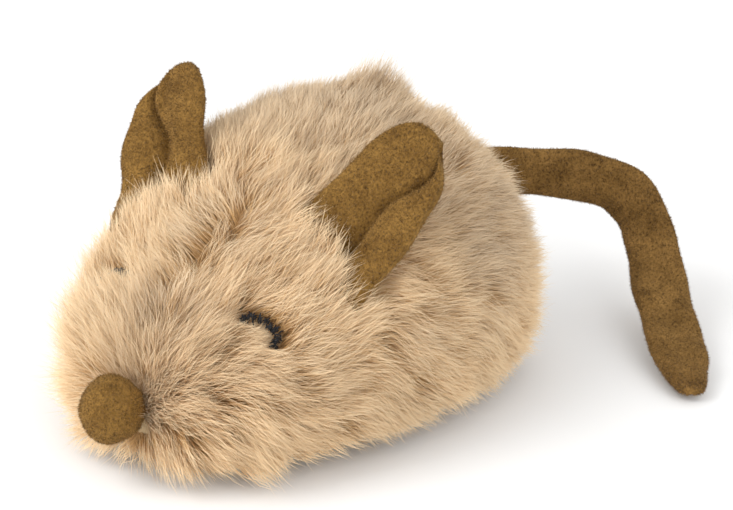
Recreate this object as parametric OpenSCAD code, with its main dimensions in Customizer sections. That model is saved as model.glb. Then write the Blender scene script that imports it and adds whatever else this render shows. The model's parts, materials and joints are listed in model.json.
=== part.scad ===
// Clockwork plush mouse: a fur-fabric body over a moulded housing that holds a
// spring-driven movement, two drive wheels and a swivelling front wheel.
// The nose points along -Y, the tail along +Y, and the mouse's left is +X.
// The origin is on the floor, midway between the two drive wheels.

/* [Body] */
// Length of the fur body from snout to rump
body_length = 100; // [90:1:125]
// Width of the fur body at its widest
body_width = 80; // [74:1:100]
// Height of the fur body above the floor
body_height = 55; // [52:1:70]
// Distance from the drive axle forward to the snout
snout_reach = 65; // [62:1:75]
// Height of the fur's underside above the floor
belly_height = 3; // [2:0.5:3.5]
// Thickness of the fur fabric, backing and pile together
fur_thickness = 7; // [5:0.5:8]
// Thickness of the polyester wadding under the fur
wadding_thickness = 2.7; // [1.5:0.1:4]

/* [Housing] */
// Wall of the moulded housing
housing_wall = 1.5; // [1:0.1:2]
// Thickness of the base plate
plate_thickness = 2; // [1.5:0.1:3]
// Height of the base plate's underside above the floor
plate_height = 5.2; // [4.8:0.1:5.5]

/* [Wheels] */
// Radius of a drive wheel over its tyre
wheel_radius = 9; // [8:0.5:10]
// Width of a drive wheel
wheel_width = 5; // [3:0.5:6]
// Distance between the middles of the two drive wheels
wheel_track = 32; // [31:0.5:34]
// Thickness of the rubber tyre
tyre_thickness = 2; // [1:0.25:3]
// Radius of the front wheel
caster_radius = 4.5; // [3.5:0.25:5]
// Distance from the drive axle forward to the front wheel's swivel
caster_reach = 36; // [34:1:38]
// Trail of the front wheel behind its swivel
caster_trail = 3; // [1.5:0.5:3.5]

/* [Movement] */
// Module of the clock teeth
tooth_module = 0.5; // [0.45:0.01:0.52]
// Teeth on the great wheel
great_teeth = 48; // [44:1:50]
// Teeth on the pinion of the drive axle
axle_pinion_teeth = 12; // [11:1:14]
// Teeth on the second pinion
second_pinion_teeth = 10; // [10:1:12]
// Teeth on the second wheel
second_teeth = 40; // [36:1:42]
// Teeth on the governor pinion
governor_pinion_teeth = 8; // [8:1:9]
// Radius of the governor flywheel
flywheel_radius = 6; // [4:0.5:6.5]
// Clear width between the two frame plates
frame_gap = 18; // [17:0.5:20]
// Turns of the mainspring strip
spring_turns = 7; // [5:1:9]
// Radius of the winding arbor
arbor_radius = 1.5; // [1.2:0.1:1.8]
// Radius of the drive axle
axle_radius = 1; // [0.8:0.1:1.3]

/* [Soft trim] */
// Length of an ear from its root to its tip
ear_length = 31; // [24:1:36]
// Width of an ear
ear_width = 20; // [16:1:24]
// Thickness of the doubled ear fabric
ear_thickness = 2.6; // [1.5:0.1:4]
// Radius of the round nose
nose_radius = 5.9; // [4:0.1:8]
// Height of the nose's middle above the floor
nose_height = 15; // [12:0.5:18]
// Width of the flat tail
tail_width = 11; // [8:0.5:14]
// Thickness of the tail
tail_thickness = 3.6; // [2:0.2:5]

/* [Hidden] */
$fn = 48;

// colours
fur_tan = [0.80, 0.66, 0.48];
suede_brown = [0.45, 0.34, 0.19];
thread_black = [0.06, 0.06, 0.07];
moulding_grey = [0.30, 0.31, 0.33];
knob_ivory = [0.86, 0.83, 0.75];
brass = [0.80, 0.64, 0.32];
steel = [0.62, 0.63, 0.65];
rubber_black = [0.10, 0.10, 0.10];
wadding_white = [0.93, 0.93, 0.91];
spring_blue = [0.35, 0.37, 0.42];

// clearances
running = 0.05;     // radial, between a shaft and its bearing
layer_gap = 0.3;    // between the soft layers and the housing
part_gap = 0.2;     // between parts that pass each other

// ---- body lines ----------------------------------------------------------
// Share along the body at which it is widest, and at which it is highest
widest_at = 0.65;
highest_at = 0.75;
// Height of the top line at the snout, as a share of the full height
snout_share = 0.31;
// Share of the length over which the snout rounds off
snout_round = 0.08;
// Height of the widest line at the snout and along the flanks
snout_line = 11;
flank_line = 19;
// Superellipse powers: upper half, lower half outside, lower half inside
dome_power = 2.2;
belly_power = 4;
corner_power = 8;
// Power of the curve by which the belly turns up at the rump
rump_power = 8;
body_rings = 24;
body_sides = 32;

half_width = body_width / 2;
snout_y = -snout_reach;
rump_y = snout_y + body_length;

// Insets of the layers from the fur's outer surface
wadding_inset = fur_thickness + layer_gap;
housing_inset = wadding_inset + wadding_thickness + layer_gap;
room_inset = housing_inset + housing_wall;

function round_off(q, p = 2) = sqrt(1 - pow(max(0, min(1, q)), p));
// Share of the half width at share s of the length
function plan(s) = s < widest_at
  ? round_off(1 - s / widest_at)
  : round_off((s - widest_at) / (1 - widest_at), 3);
// Height of the widest line
function flank(s) = snout_line
  + (flank_line - snout_line) * sin(90 * min(1, 2 * s));
// How far the upper and the lower half have opened out near the two ends. The
// layers inside the fur keep a flat floor, so that they clear the base plate
function opening(s) = s < highest_at
  ? round_off(1 - s / snout_round)
  : round_off((s - highest_at) / (1 - highest_at));
function low_opening(s, low_power) = low_power == corner_power ? 1
  : s < highest_at ? opening(s)
  : round_off((s - highest_at) / (1 - highest_at), rump_power);
function top_line(s, height) = s < highest_at
  ? height * (snout_share + (1 - snout_share) * sin(90 * s / highest_at))
  : height;
function power(x, p) = sign(x) * pow(abs(x), p);

// Place along the body, and share of the length, of a layer at an inset
function layer_y(s, inset) = snout_y + inset + s * (body_length - 2 * inset);
function layer_share(y, inset) = (y - snout_y - inset) / (body_length - 2 * inset);
// Half width of a layer's side at a place along the body
function side_x(y, inset) = (half_width - inset) * plan(layer_share(y, inset));

// One point of a layer: s runs from snout to rump, a is the angle around it
function layer_point(s, a, inset, floor_z, low_power) =
  let (upper = sin(a) >= 0,
       p = 2 / (upper ? dome_power : low_power),
       reach = upper ? (top_line(s, body_height - inset) - flank(s)) * opening(s)
                     : (flank(s) - floor_z) * low_opening(s, low_power))
  [(half_width - inset) * plan(s) * power(cos(a), p),
   layer_y(s, inset),
   flank(s) + reach * power(sin(a), p)];

// A closed solid through rings of points, with a flat cap at either end. A cap
// is made of strips from one half of its ring to the other
module skinned(rings) {
  n = len(rings);
  m = len(rings[0]);
  last = (n - 1) * m;
  faces = concat(
    [for (j = [0 : m / 2 - 2]) [j, j + 1, m - 2 - j, m - 1 - j]],
    [for (i = [0 : n - 2]) for (j = [0 : m - 1])
      let (a = i * m + j, b = i * m + (j + 1) % m) [a, a + m, b]],
    [for (i = [0 : n - 2]) for (j = [0 : m - 1])
      let (a = i * m + j, b = i * m + (j + 1) % m) [b, a + m, b + m]],
    [for (j = [0 : m / 2 - 2])
      [last + m - 1 - j, last + m - 2 - j, last + j + 1, last + j]]);
  polyhedron([for (r = rings) each r], faces, convexity = 6);
}

// The solid inside one layer of the body
module layer(inset, floor_z, low_power) {
  tip = 0.004;
  shares = [for (i = [0 : body_rings])
    tip + (1 - 2 * tip) * (0.5 - 0.5 * cos(180 * i / body_rings))];
  skinned([for (s = shares) [for (j = [0 : body_sides - 1])
    layer_point(s, -360 * j / body_sides, inset, floor_z, low_power)]]);
}

// ---- heights and places --------------------------------------------------
hem_recess = 1;
ledge_z = plate_height + hem_recess;
plate_top = ledge_z + plate_thickness;

// Places on a plane across the mouse, as [y, z]
axle_at = [0, wheel_radius];
great_radius = tooth_module * great_teeth / 2;
wheel_addendum = 0.8 * tooth_module;
great_z = plate_top + great_radius + wheel_addendum + 0.7;
axle_reach = tooth_module * (great_teeth + axle_pinion_teeth) / 2;
winding_at = [sqrt(pow(axle_reach, 2) - pow(great_z - wheel_radius, 2)), great_z];
second_tilt = 166.5;
second_reach = tooth_module * (great_teeth + second_pinion_teeth) / 2;
second_at = winding_at + second_reach * [cos(second_tilt), sin(second_tilt)];
governor_tilt = 190;
governor_reach = tooth_module * (second_teeth + governor_pinion_teeth) / 2;
governor_at = second_at + governor_reach * [cos(governor_tilt), sin(governor_tilt)];
function direction(a, b) = atan2(b[1] - a[1], b[0] - a[0]);

// Along the axles, from the middle outwards
frame_metal = 1;
frame_x = frame_gap / 2;
frame_out = frame_x + frame_metal;
great_x = [1, 3];
axle_pinion_x = [0.5, 3.5];
second_pinion_x = [0.5, 3.5];
second_x = [4.5, 6];
governor_pinion_x = [4, 6.5];
flywheel_x = [-6.5, -2.5];
ratchet_x = [-0.6, 0.4];
spring_x = [-8, -1.2];
wheel_x = wheel_track / 2;

second_radius = 0.8;
governor_radius = 0.6;
caster_axle_radius = 0.75;
stem_radius = 1.2;

// Winding shaft through the flank
eyelet_bore = arbor_radius + 0.7;
eyelet_tube = eyelet_bore + 0.8;
eyelet_flange = eyelet_tube + 2.2;
eyelet_sheet = 0.8;
eyelet_lift = 0.3;
knob_radius = 7;
knob_length = 7;
knob_notches = 14;
winding_side = side_x(winding_at[0], 0);
eyelet_face = winding_side + eyelet_lift + eyelet_sheet;
knob_face = eyelet_face + 0.6;

// Front wheel
caster_y = -caster_reach;
caster_width = 3;
cheek = 0.8;
crown_z = 2 * caster_radius + 0.3;
crown_top = crown_z + 1;
pocket_radius = caster_trail + caster_radius + 0.8;
pocket_wall = 1.3;
pocket_top = crown_top + part_gap;
cup_top = pocket_top + 1.6;
stem_top = cup_top + 2.4;

// Housing screws: boss and screw sizes
boss_radius = 2.6;
screw_radius = 0.9;
screw_head = 2;
screw_sink = 1.5;
screw_length = 10;

// Frame: pillars between the plates, and feet on the base plate
pillar_radius = 1.5;
function at_angle(a, reach) = reach * [cos(a), sin(a)];
great_clear = great_radius + wheel_addendum + pillar_radius + part_gap;
second_clear = tooth_module * second_teeth / 2 + wheel_addendum + pillar_radius;
flywheel_clear = flywheel_radius + pillar_radius;
pillar_places = [
  governor_at + at_angle(-100.4, flywheel_clear + 1.75),
  second_at + at_angle(140.2, second_clear + 1.1),
  second_at + at_angle(56.4, second_clear + 1.7),
  winding_at + at_angle(-44.7, great_clear)];
pillar_rim = 2.6;
frame_screw_radius = 0.7;
frame_screw_head = 1.6;
foot_y = 15.5;
foot_width = 5;
foot_reach = 5.5;
foot_screw_x = frame_out + 3.2;

// Housing screws: places on one side, the rear ones clear of the frame's feet
screw_places = [[20.5, -24], [frame_out + foot_reach + boss_radius + 0.9, 14]];

// ---- shapes used more than once ------------------------------------------
// Children drawn in a plane across the mouse, starting at a place along x
module across(at, x) {
  translate([x, at[0], at[1]]) rotate([90, 0, 90]) children();
}
module rod(at, span, r) {
  across(at, span[0]) cylinder(h = span[1] - span[0], r = r);
}
module tube(length, r, bore) {
  difference() {
    cylinder(h = length, r = r);
    translate([0, 0, -1]) cylinder(h = length + 2, r = bore);
  }
}
module ring(at, span, r, bore) {
  across(at, span[0]) tube(span[1] - span[0], r, bore);
}
module post(x, y, z0, z1, r) {
  translate([x, y, z0]) cylinder(h = z1 - z0, r = r);
}
// The same children on the left and on the right
module both_sides() {
  children();
  mirror([1, 0, 0]) children();
}

// Clock tooth outline: radii at the root, pitch line and tip, and the half
// thicknesses there as shares of the tooth spacing
function tooth(teeth, a, root, pitch, tip) = [for (p = [
    [root, -0.24], [pitch, -0.185], [tip, -0.08],
    [tip, 0.08], [pitch, 0.185], [root, 0.24]])
  let (t = a + p[1] * 360 / teeth) p[0] * [cos(t), sin(t)]];
module gear(at, span, teeth, turn, bore, addendum = 0.8, dedendum = 1.25) {
  pitch = tooth_module * teeth / 2;
  outline = [for (i = [0 : teeth - 1])
    each tooth(teeth, turn + 360 * i / teeth, pitch - dedendum * tooth_module,
      pitch, pitch + addendum * tooth_module)];
  across(at, span[0]) difference() {
    linear_extrude(span[1] - span[0]) polygon(outline);
    translate([0, 0, -1]) cylinder(h = span[1] - span[0] + 2, r = bore);
  }
}
// Turn of a pinion that meshes with a wheel lying in direction phi from it
function mesh_turn(phi, wheel_turn, wheel_teeth, teeth) =
  phi + 180 + (phi - wheel_turn) * wheel_teeth / teeth + 180 / teeth;
// Round holes that lighten a wheel
module lightening(count, reach, r) {
  for (i = [0 : count - 1]) rotate(360 * i / count)
    translate([reach, 0, -5]) cylinder(h = 20, r = r);
}

// A flat tube swept along a route: wide gives the direction of its width
module swept(route, wide, half_w, half_t, sides) {
  n = len(route);
  skinned([for (i = [0 : n - 1])
    let (ahead = route[min(n - 1, i + 1)] - route[max(0, i - 1)],
         t = ahead / norm(ahead),
         w = wide[i] - (wide[i] * t) * t,
         u = w / norm(w),
         v = cross(t, u))
    [for (j = [0 : sides - 1]) let (a = -360 * j / sides)
      route[i] + half_w[i] * cos(a) * u + half_t[i] * sin(a) * v]]);
}

// ---- soft parts ----------------------------------------------------------
panel_share = 0.8;
panel_front = caster_y - pocket_radius - 2.2;
panel_rear = rump_y - 13;
panel_steps = 18;
// Outline of the raised panel of the base plate, grown by a margin
module panel_outline(margin) {
  side = [for (i = [0 : panel_steps])
    let (y = panel_front + (panel_rear - panel_front) * i / panel_steps,
         end = i == 0 ? -margin : i == panel_steps ? margin : 0)
    [panel_share * side_x(y, fur_thickness) + margin, y + end]];
  polygon(concat(side, [for (i = [panel_steps : -1 : 0]) [-side[i][0], side[i][1]]]));
}
module nose_ball(r) {
  translate([0, snout_y - 0.5, nose_height]) sphere(r = r);
}

// The skin's inside drops below the plate's ledge, under which it is glued
module fur_skin() {
  color(fur_tan) difference() {
    layer(0, belly_height, belly_power);
    layer(fur_thickness, ledge_z - 1.2, corner_power);
    translate([0, 0, belly_height - 1])
      linear_extrude(ledge_z - belly_height + 1) panel_outline(0.6);
    rod(winding_at, [-body_width, 0], eyelet_tube + part_gap);
    nose_ball(nose_radius + 0.1);
  }
}

module wadding() {
  color(wadding_white) difference() {
    layer(wadding_inset, ledge_z - 1, corner_power);
    layer(housing_inset - layer_gap, ledge_z - 2, corner_power);
    translate([-body_width, -body_length * 2, 0])
      cube([2 * body_width, 4 * body_length, plate_top + layer_gap]);
    rod(winding_at, [-body_width, 0], eyelet_tube + part_gap);
  }
}

// Each ear stands on the head's side: its root runs outwards and down, and
// it leans outwards and back
ear_share = 0.384;
ear_angle = 53;
ear_depth = 2.5;
ear_root = layer_point(ear_share, ear_angle, ear_depth, belly_height, belly_power);
ear_across = [0.82, -0.22, -0.52];
ear_up = [0.39, 0.55, 0.74];
ear_normal = cross(ear_across, ear_up);
ear_sunk = 4;
ear_fold = 0.22;
function ear_leaf(v) = pow(1 - pow(v, 3.5), 1 / 2.2);
function ear_point(u, v, lift) =
  let (w = ear_width / 2 * (1 + 0.1 * sin(180 * v)) * ear_leaf(v))
  ear_root + (ear_length * v - ear_sunk) * ear_up + w * u * ear_across
    + (lift + ear_fold * w * pow(abs(u), 0.8)) * ear_normal;
module ear() {
  across_steps = 12;
  rows = [for (i = [0 : 12]) 0.99 * sin(90 * i / 12)];
  skinned([for (v = rows) concat(
    [for (j = [0 : across_steps]) ear_point(1 - 2 * j / across_steps, v, 0)],
    [for (j = [0 : across_steps]) ear_point(2 * j / across_steps - 1, v,
      -ear_thickness)])]);
}
module ear_left() {
  color(suede_brown) ear();
}
module ear_right() {
  color(suede_brown) mirror([1, 0, 0]) ear();
}

nose_cloth = 0.8;
module nose_cover() {
  color(suede_brown) difference() {
    nose_ball(nose_radius);
    nose_ball(nose_radius - nose_cloth);
  }
}
module nose_filling() {
  color(wadding_white) nose_ball(nose_radius - nose_cloth - 0.05);
}

// Each eye is an arched line of thread sewn through the fur, on the head's side
eye_share = 0.187;
eye_angle = 51.5;
eye_span = 10.5;
eye_arch = 0.02;
eye_depth = 1.2;
eye_thread = 0.7;
module eye() {
  steps = 8;
  route = [for (i = [0 : steps]) let (t = 180 * i / steps)
    layer_point(eye_share + eye_arch * sin(t), eye_angle + eye_span * cos(t),
      eye_depth, belly_height, belly_power)];
  r = [for (i = [0 : steps]) eye_thread * (i == 0 || i == steps ? 0.6 : 1)];
  swept(route, [for (p = route) [0, 0, 1]], r, r, 8);
}
module eye_left() {
  color(thread_black) eye();
}
module eye_right() {
  color(thread_black) mirror([1, 0, 0]) eye();
}

// The tail leaves the rump, swings out to the left and comes to lie on the
// floor beside the body: places, and direction of its width at each
tail_route = [[0, 30, 24], [2, 38, 26], [6, 46, 27], [13, 52.5, 27], [21, 58.5, 26],
  [28, 62.5, 24], [33, 62.5, 20.5], [37, 60, 16.5], [41, 56, 12.5], [46, 50.5, 9],
  [52, 44, 6], [59, 36, 3.8], [64, 30, 2.8], [67, 26.5, 2.4]];
tail_wide = [[0, 0, 1], [0, 0, 1], [0, 0, 1], [0, 0, 1], [0.1, 0.1, 1],
  [0.4, 0.2, 1], [0.8, 0.4, 0.9], [1, 0.6, 0.6], [1, 0.7, 0.3], [1, 0.75, 0.1],
  [1, 0.8, 0], [1, 0.85, 0], [1, 0.85, 0], [1, 0.85, 0]];
tail_offset = [0, rump_y - 35, 0];
module tail() {
  n = len(tail_route);
  width = [for (i = [0 : n - 1]) tail_width / 2
    * (i == n - 1 ? 0.45 : i == n - 2 ? 0.85 : i == 0 ? 0.75 : 1)];
  thick = [for (i = [0 : n - 1]) tail_thickness / 2 * (i == n - 1 ? 0.5 : 1)];
  color(suede_brown) translate(tail_offset)
    swept(tail_route, tail_wide, width, thick, 12);
}

// ---- shell ---------------------------------------------------------------
module winding_eyelet() {
  inner_x = side_x(winding_at[0], housing_inset) + 2 * eyelet_lift;
  color(brass) difference() {
    union() {
      rod(winding_at, [-eyelet_face, -inner_x], eyelet_tube);
      rod(winding_at, [-eyelet_face, eyelet_sheet - eyelet_face], eyelet_flange);
    }
    rod(winding_at, [-eyelet_face - 1, 0], eyelet_bore);
  }
}

module housing() {
  color(moulding_grey) difference() {
    union() {
      difference() {
        layer(housing_inset, 0, corner_power);
        layer(room_inset, -1, corner_power);
      }
      intersection() {
        layer(housing_inset, 0, corner_power);
        both_sides() for (p = screw_places)
          post(p[0], p[1], 0, body_height, boss_radius);
      }
    }
    translate([-body_width, -body_length * 2, -body_height])
      cube([2 * body_width, 4 * body_length, body_height + plate_top]);
    both_sides() for (p = screw_places)
      post(p[0], p[1], 0, plate_height + screw_length + 1, screw_radius + 0.02);
    rod(winding_at, [-body_width, 0], arbor_radius + 0.4);
  }
}

module ledge_outline() {
  steps = 40;
  side = [for (i = [0 : steps])
    let (s = 0.004 + 0.992 * (0.5 - 0.5 * cos(180 * i / steps)))
    [(half_width - housing_inset) * plan(s), layer_y(s, housing_inset)]];
  polygon(concat(side, [for (i = [steps : -1 : 0]) [-side[i][0], side[i][1]]]));
}
slot_gap = 0.9;
module base_plate() {
  slot_x = wheel_width / 2 + slot_gap;
  slot_y = wheel_radius + slot_gap;
  pinion_y = tooth_module * (axle_pinion_teeth / 2 + 1) + slot_gap;
  color(moulding_grey) difference() {
    union() {
      translate([0, 0, ledge_z]) linear_extrude(plate_thickness) ledge_outline();
      translate([0, 0, plate_height]) linear_extrude(hem_recess) panel_outline(0);
      post(0, caster_y, plate_height, cup_top, pocket_radius + pocket_wall);
      post(0, caster_y, plate_height, cup_top + 0.6, stem_radius + 1.4);
    }
    both_sides() translate([wheel_x - slot_x, -slot_y, 0])
      cube([2 * slot_x, 2 * slot_y, plate_top + 1]);
    translate([-wheel_x, -pinion_y, 0])
      cube([2 * wheel_x, 2 * pinion_y, plate_top + 1]);
    post(0, caster_y, 0, pocket_top, pocket_radius);
    post(0, caster_y, 0, cup_top + 2, stem_radius + running);
    both_sides() for (p = screw_places) {
      post(p[0], p[1], 0, plate_height + screw_sink, screw_head + part_gap);
      post(p[0], p[1], 0, plate_top + 1, screw_radius + part_gap);
    }
    both_sides() for (y = [-foot_y, foot_y])
      post(foot_screw_x, y, plate_height + 0.8, plate_top + 1, frame_screw_radius + 0.02);
  }
}

module cross_slot(x, y, z, r) {
  translate([x - r, y - 0.2, z]) cube([2 * r, 0.4, 1]);
  translate([x - 0.2, y - r, z]) cube([0.4, 2 * r, 1]);
}
module housing_screws() {
  head_z = plate_height + 0.3;
  color(steel) both_sides() for (p = screw_places) difference() {
    union() {
      post(p[0], p[1], head_z, plate_height + screw_sink, screw_head);
      post(p[0], p[1], head_z, plate_height + screw_length, screw_radius);
    }
    cross_slot(p[0], p[1], head_z - 0.4, 1.2);
  }
}

// ---- frame of the movement -----------------------------------------------
module frame_outline() {
  difference() {
    union() {
      hull() for (p = pillar_places) translate(p) circle(r = pillar_rim);
      hull() {
        translate(axle_at) circle(r = axle_radius + 2.2);
        translate(axle_at + [0, 6]) circle(r = axle_radius + 2.2);
      }
      for (y = [-foot_y, foot_y])
        translate([y - foot_width / 2, plate_top]) square([foot_width, 8]);
    }
    translate(winding_at) circle(r = arbor_radius + running);
    translate(axle_at) circle(r = axle_radius + running);
    translate(second_at) circle(r = second_radius + running);
    translate(governor_at) circle(r = governor_radius + running);
    for (p = pillar_places) translate(p) circle(r = frame_screw_radius + part_gap);
  }
}
// The plate's corners are trimmed to the inside of the housing
module frame_plate() {
  intersection() {
    across([0, 0], frame_x) linear_extrude(frame_metal) frame_outline();
    layer(room_inset + part_gap, -1, corner_power);
  }
  for (y = [-foot_y, foot_y]) difference() {
    translate([frame_x, y - foot_width / 2, plate_top])
      cube([frame_metal + foot_reach, foot_width, frame_metal]);
    post(foot_screw_x, y, 0, 50, frame_screw_radius + part_gap);
  }
}
module frame_plate_left() {
  color(steel) frame_plate();
}
module frame_plate_right() {
  color(steel) mirror([1, 0, 0]) frame_plate();
}
module frame_pillars() {
  color(steel) for (p = pillar_places) difference() {
    rod(p, [-frame_x, frame_x], pillar_radius);
    rod(p, [frame_x - 4, frame_x + 1], frame_screw_radius + 0.02);
    rod(p, [-frame_x - 1, 4 - frame_x], frame_screw_radius + 0.02);
  }
}
module frame_screws() {
  color(steel) both_sides() {
    for (p = pillar_places) {
      rod(p, [frame_x - 3, frame_out + 0.5], frame_screw_radius);
      rod(p, [frame_out, frame_out + 0.8], frame_screw_head);
    }
    for (y = [-foot_y, foot_y]) {
      post(foot_screw_x, y, plate_height + 1.2, plate_top + frame_metal + 0.5,
        frame_screw_radius);
      post(foot_screw_x, y, plate_top + frame_metal, plate_top + frame_metal + 0.8,
        frame_screw_head);
    }
  }
}

// ---- winding -------------------------------------------------------------
spring_core = arbor_radius + 1;
spring_outer = great_radius - 1.6;
spring_strip = 0.3;
module winding_arbor() {
  color(steel) union() {
    rod(winding_at, [-knob_face - knob_length + 1, frame_out + 1.6], arbor_radius);
    rod(winding_at, [0.2 - frame_x, ratchet_x[0]], spring_core);
  }
}
module winding_knob() {
  color(knob_ivory) across(winding_at, -knob_face - knob_length) difference() {
    union() {
      cylinder(h = knob_length, r = knob_radius - 0.6);
      translate([0, 0, 1]) cylinder(h = knob_length - 2, r = knob_radius);
    }
    translate([0, 0, 1]) cylinder(h = knob_length, r = arbor_radius);
    for (i = [0 : knob_notches - 1]) rotate(360 * i / knob_notches)
      translate([knob_radius + 0.5, 0, -1]) cylinder(h = knob_length + 2, r = 1);
  }
}
ratchet_teeth = 12;
ratchet_radius = 5;
module ratchet_wheel() {
  outline = [for (i = [0 : ratchet_teeth - 1]) each let (a = 360 * i / ratchet_teeth)
    [ratchet_radius * [cos(a), sin(a)], (ratchet_radius - 1) * [cos(a + 3), sin(a + 3)]]];
  color(steel) across(winding_at, ratchet_x[0]) difference() {
    linear_extrude(ratchet_x[1] - ratchet_x[0]) polygon(outline);
    translate([0, 0, -1]) cylinder(h = 4, r = arbor_radius);
  }
}
module arbor_clip() {
  color(steel) across(winding_at, frame_out + 0.3) difference() {
    cylinder(h = 0.7, r = arbor_radius + 1.5);
    translate([0, 0, -1]) cylinder(h = 3, r = arbor_radius);
    translate([0, -arbor_radius * 0.6, -1]) cube([10, arbor_radius * 1.2, 3]);
  }
}
// A spiral strip whose outer end runs straight to a loop round the rear pillar
module mainspring() {
  start = spring_core + 0.2;
  steps = spring_turns * 20;
  hook = pillar_places[3] - winding_at;
  hook_turn = atan2(hook[1], hook[0]);
  loop = pillar_radius + 0.15;
  lean = acos((spring_outer - loop) / norm(hook));
  function coil(i, r) = let (a = -lean - 18 * (steps - i))
    (start + (spring_outer - start) * i / steps + r) * [cos(a), sin(a)];
  // The straight stretch touches the loop and runs a little way past it
  function far(r) = [norm(hook), 0] + (loop + r) * [cos(lean), -sin(lean)]
    + spring_strip * [sin(lean), cos(lean)];
  color(spring_blue) across(winding_at, spring_x[0]) rotate(hook_turn) {
    linear_extrude(spring_x[1] - spring_x[0])
      polygon(concat([for (i = [0 : steps]) coil(i, 0)], [far(0), far(spring_strip)],
        [for (i = [steps : -1 : 0]) coil(i, spring_strip)]));
    translate([norm(hook), 0, 0]) tube(spring_x[1] - spring_x[0], loop + spring_strip, loop);
  }
}

// ---- wheels of the train -------------------------------------------------
click_reach = 8.7;
click_turn = 40;
stud_radius = 0.6;
module great_wheel() {
  color(brass) difference() {
    union() {
      gear(winding_at, great_x, great_teeth, 0, arbor_radius + running);
      ring(winding_at, [0.6, great_x[1] + 0.4], arbor_radius + 1.2,
        arbor_radius + running);
      across(winding_at, ratchet_x[0] - 0.3) for (turn = [click_turn, click_turn + 60])
        rotate(turn) translate([click_reach, 0])
          cylinder(h = great_x[0] + 0.5 - ratchet_x[0], r = stud_radius);
    }
    across(winding_at, 0) rotate(click_turn + 30) lightening(6, 6, 1.6);
  }
}
// The click lies on the back of a ratchet tooth, with its nose just clear
module click() {
  nose_reach = ratchet_radius + 0.25;
  color(steel) across(winding_at, ratchet_x[0]) difference() {
    linear_extrude(ratchet_x[1] - ratchet_x[0]) rotate(click_turn) polygon([
      [click_reach + 1, -0.9], [click_reach + 1, 0.9], [click_reach - 0.6, 1.2],
      [nose_reach * cos(-42) + 0.9, nose_reach * sin(-42) + 0.4],
      [nose_reach * cos(-42), nose_reach * sin(-42)],
      [click_reach - 1.2, -2.2]]);
    rotate(click_turn) translate([click_reach, 0, -1]) cylinder(h = 4, r = stud_radius);
  }
}
// A bent leaf from its own stud to the back of the click
module click_spring() {
  thick = ratchet_x[1] - ratchet_x[0];
  arc = click_reach + stud_radius + 0.45;
  color(steel) across(winding_at, ratchet_x[0]) rotate(click_turn + 60) {
    translate([click_reach, 0, 0]) tube(thick, stud_radius + 0.5, stud_radius);
    linear_extrude(thick)
      polygon(concat([for (t = [0 : 6 : 48]) arc * [cos(t), -sin(t)]],
        [for (t = [48 : -6 : 0]) (arc - 0.35) * [cos(t), -sin(t)]]));
  }
}
module drive_axle() {
  axle_end = wheel_x + wheel_width / 2;
  color(steel) rod(axle_at, [-axle_end, axle_end], axle_radius);
}
module axle_pinion() {
  phi = direction(winding_at, axle_at);
  color(brass) gear(axle_at, axle_pinion_x, axle_pinion_teeth,
    mesh_turn(phi, 0, great_teeth, axle_pinion_teeth), axle_radius, 0.7, 1.3);
}
module axle_collars() {
  color(steel) both_sides()
    ring(axle_at, [frame_out + part_gap, frame_out + 1.6], axle_radius + 1, axle_radius);
}
module wheel_hub() {
  rim = wheel_radius - tyre_thickness;
  half = wheel_width / 2;
  color(knob_ivory) across(axle_at, wheel_x) rotate_extrude() polygon([
    [axle_radius, -half], [axle_radius + 1.6, -half], [axle_radius + 1.6, -half + 1.2],
    [rim - 1, -half + 1.2], [rim - 1, -half], [rim, -half],
    [rim, half], [rim - 1, half], [rim - 1, half - 1.2],
    [axle_radius + 1.6, half - 1.2], [axle_radius + 1.6, half], [axle_radius, half]]);
}
module tyre() {
  rim = wheel_radius - tyre_thickness;
  half = wheel_width / 2;
  bevel = min(0.5, tyre_thickness / 3);
  color(rubber_black) across(axle_at, wheel_x) rotate_extrude() polygon([
    [rim, -half], [wheel_radius - bevel, -half], [wheel_radius, -half + bevel],
    [wheel_radius, half - bevel], [wheel_radius - bevel, half], [rim, half]]);
}
module wheel_hub_left() {
  wheel_hub();
}
module wheel_hub_right() {
  mirror([1, 0, 0]) wheel_hub();
}
module tyre_left() {
  tyre();
}
module tyre_right() {
  mirror([1, 0, 0]) tyre();
}
module second_arbor() {
  color(steel) union() {
    rod(second_at, [-frame_out, frame_out], second_radius);
    rod(second_at, [0.2 - frame_x, 1.4 - frame_x], second_radius + 0.8);
    rod(second_at, [second_x[1], frame_x - 0.2], second_radius + 0.8);
  }
}
module second_pinion() {
  phi = direction(winding_at, second_at);
  color(brass) gear(second_at, second_pinion_x, second_pinion_teeth,
    mesh_turn(phi, 0, great_teeth, second_pinion_teeth), second_radius, 0.7, 1.3);
}
module second_wheel() {
  color(brass) difference() {
    gear(second_at, second_x, second_teeth, 0, second_radius);
    across(second_at, 0) lightening(5, 5.6, 2);
  }
}
module governor_arbor() {
  color(steel) union() {
    rod(governor_at, [-frame_out, frame_out], governor_radius);
    rod(governor_at, [0.2 - frame_x, flywheel_x[0]], governor_radius + 0.7);
    rod(governor_at, [governor_pinion_x[1], frame_x - 0.2], governor_radius + 0.7);
  }
}
module governor_pinion() {
  phi = direction(second_at, governor_at);
  color(brass) gear(governor_at, governor_pinion_x, governor_pinion_teeth,
    mesh_turn(phi, 0, second_teeth, governor_pinion_teeth), governor_radius, 0.65, 1.3);
}
module governor_flywheel() {
  width = flywheel_x[1] - flywheel_x[0];
  color(brass) across(governor_at, flywheel_x[0]) rotate_extrude() polygon([
    [governor_radius, 0], [governor_radius + 1.4, 0], [governor_radius + 1.4, 1.2],
    [flywheel_radius - 1.6, 1.2], [flywheel_radius - 1.6, 0], [flywheel_radius, 0],
    [flywheel_radius, width], [flywheel_radius - 1.6, width],
    [flywheel_radius - 1.6, width - 1.2], [governor_radius + 1.4, width - 1.2],
    [governor_radius + 1.4, width], [governor_radius, width]]);
}

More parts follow.
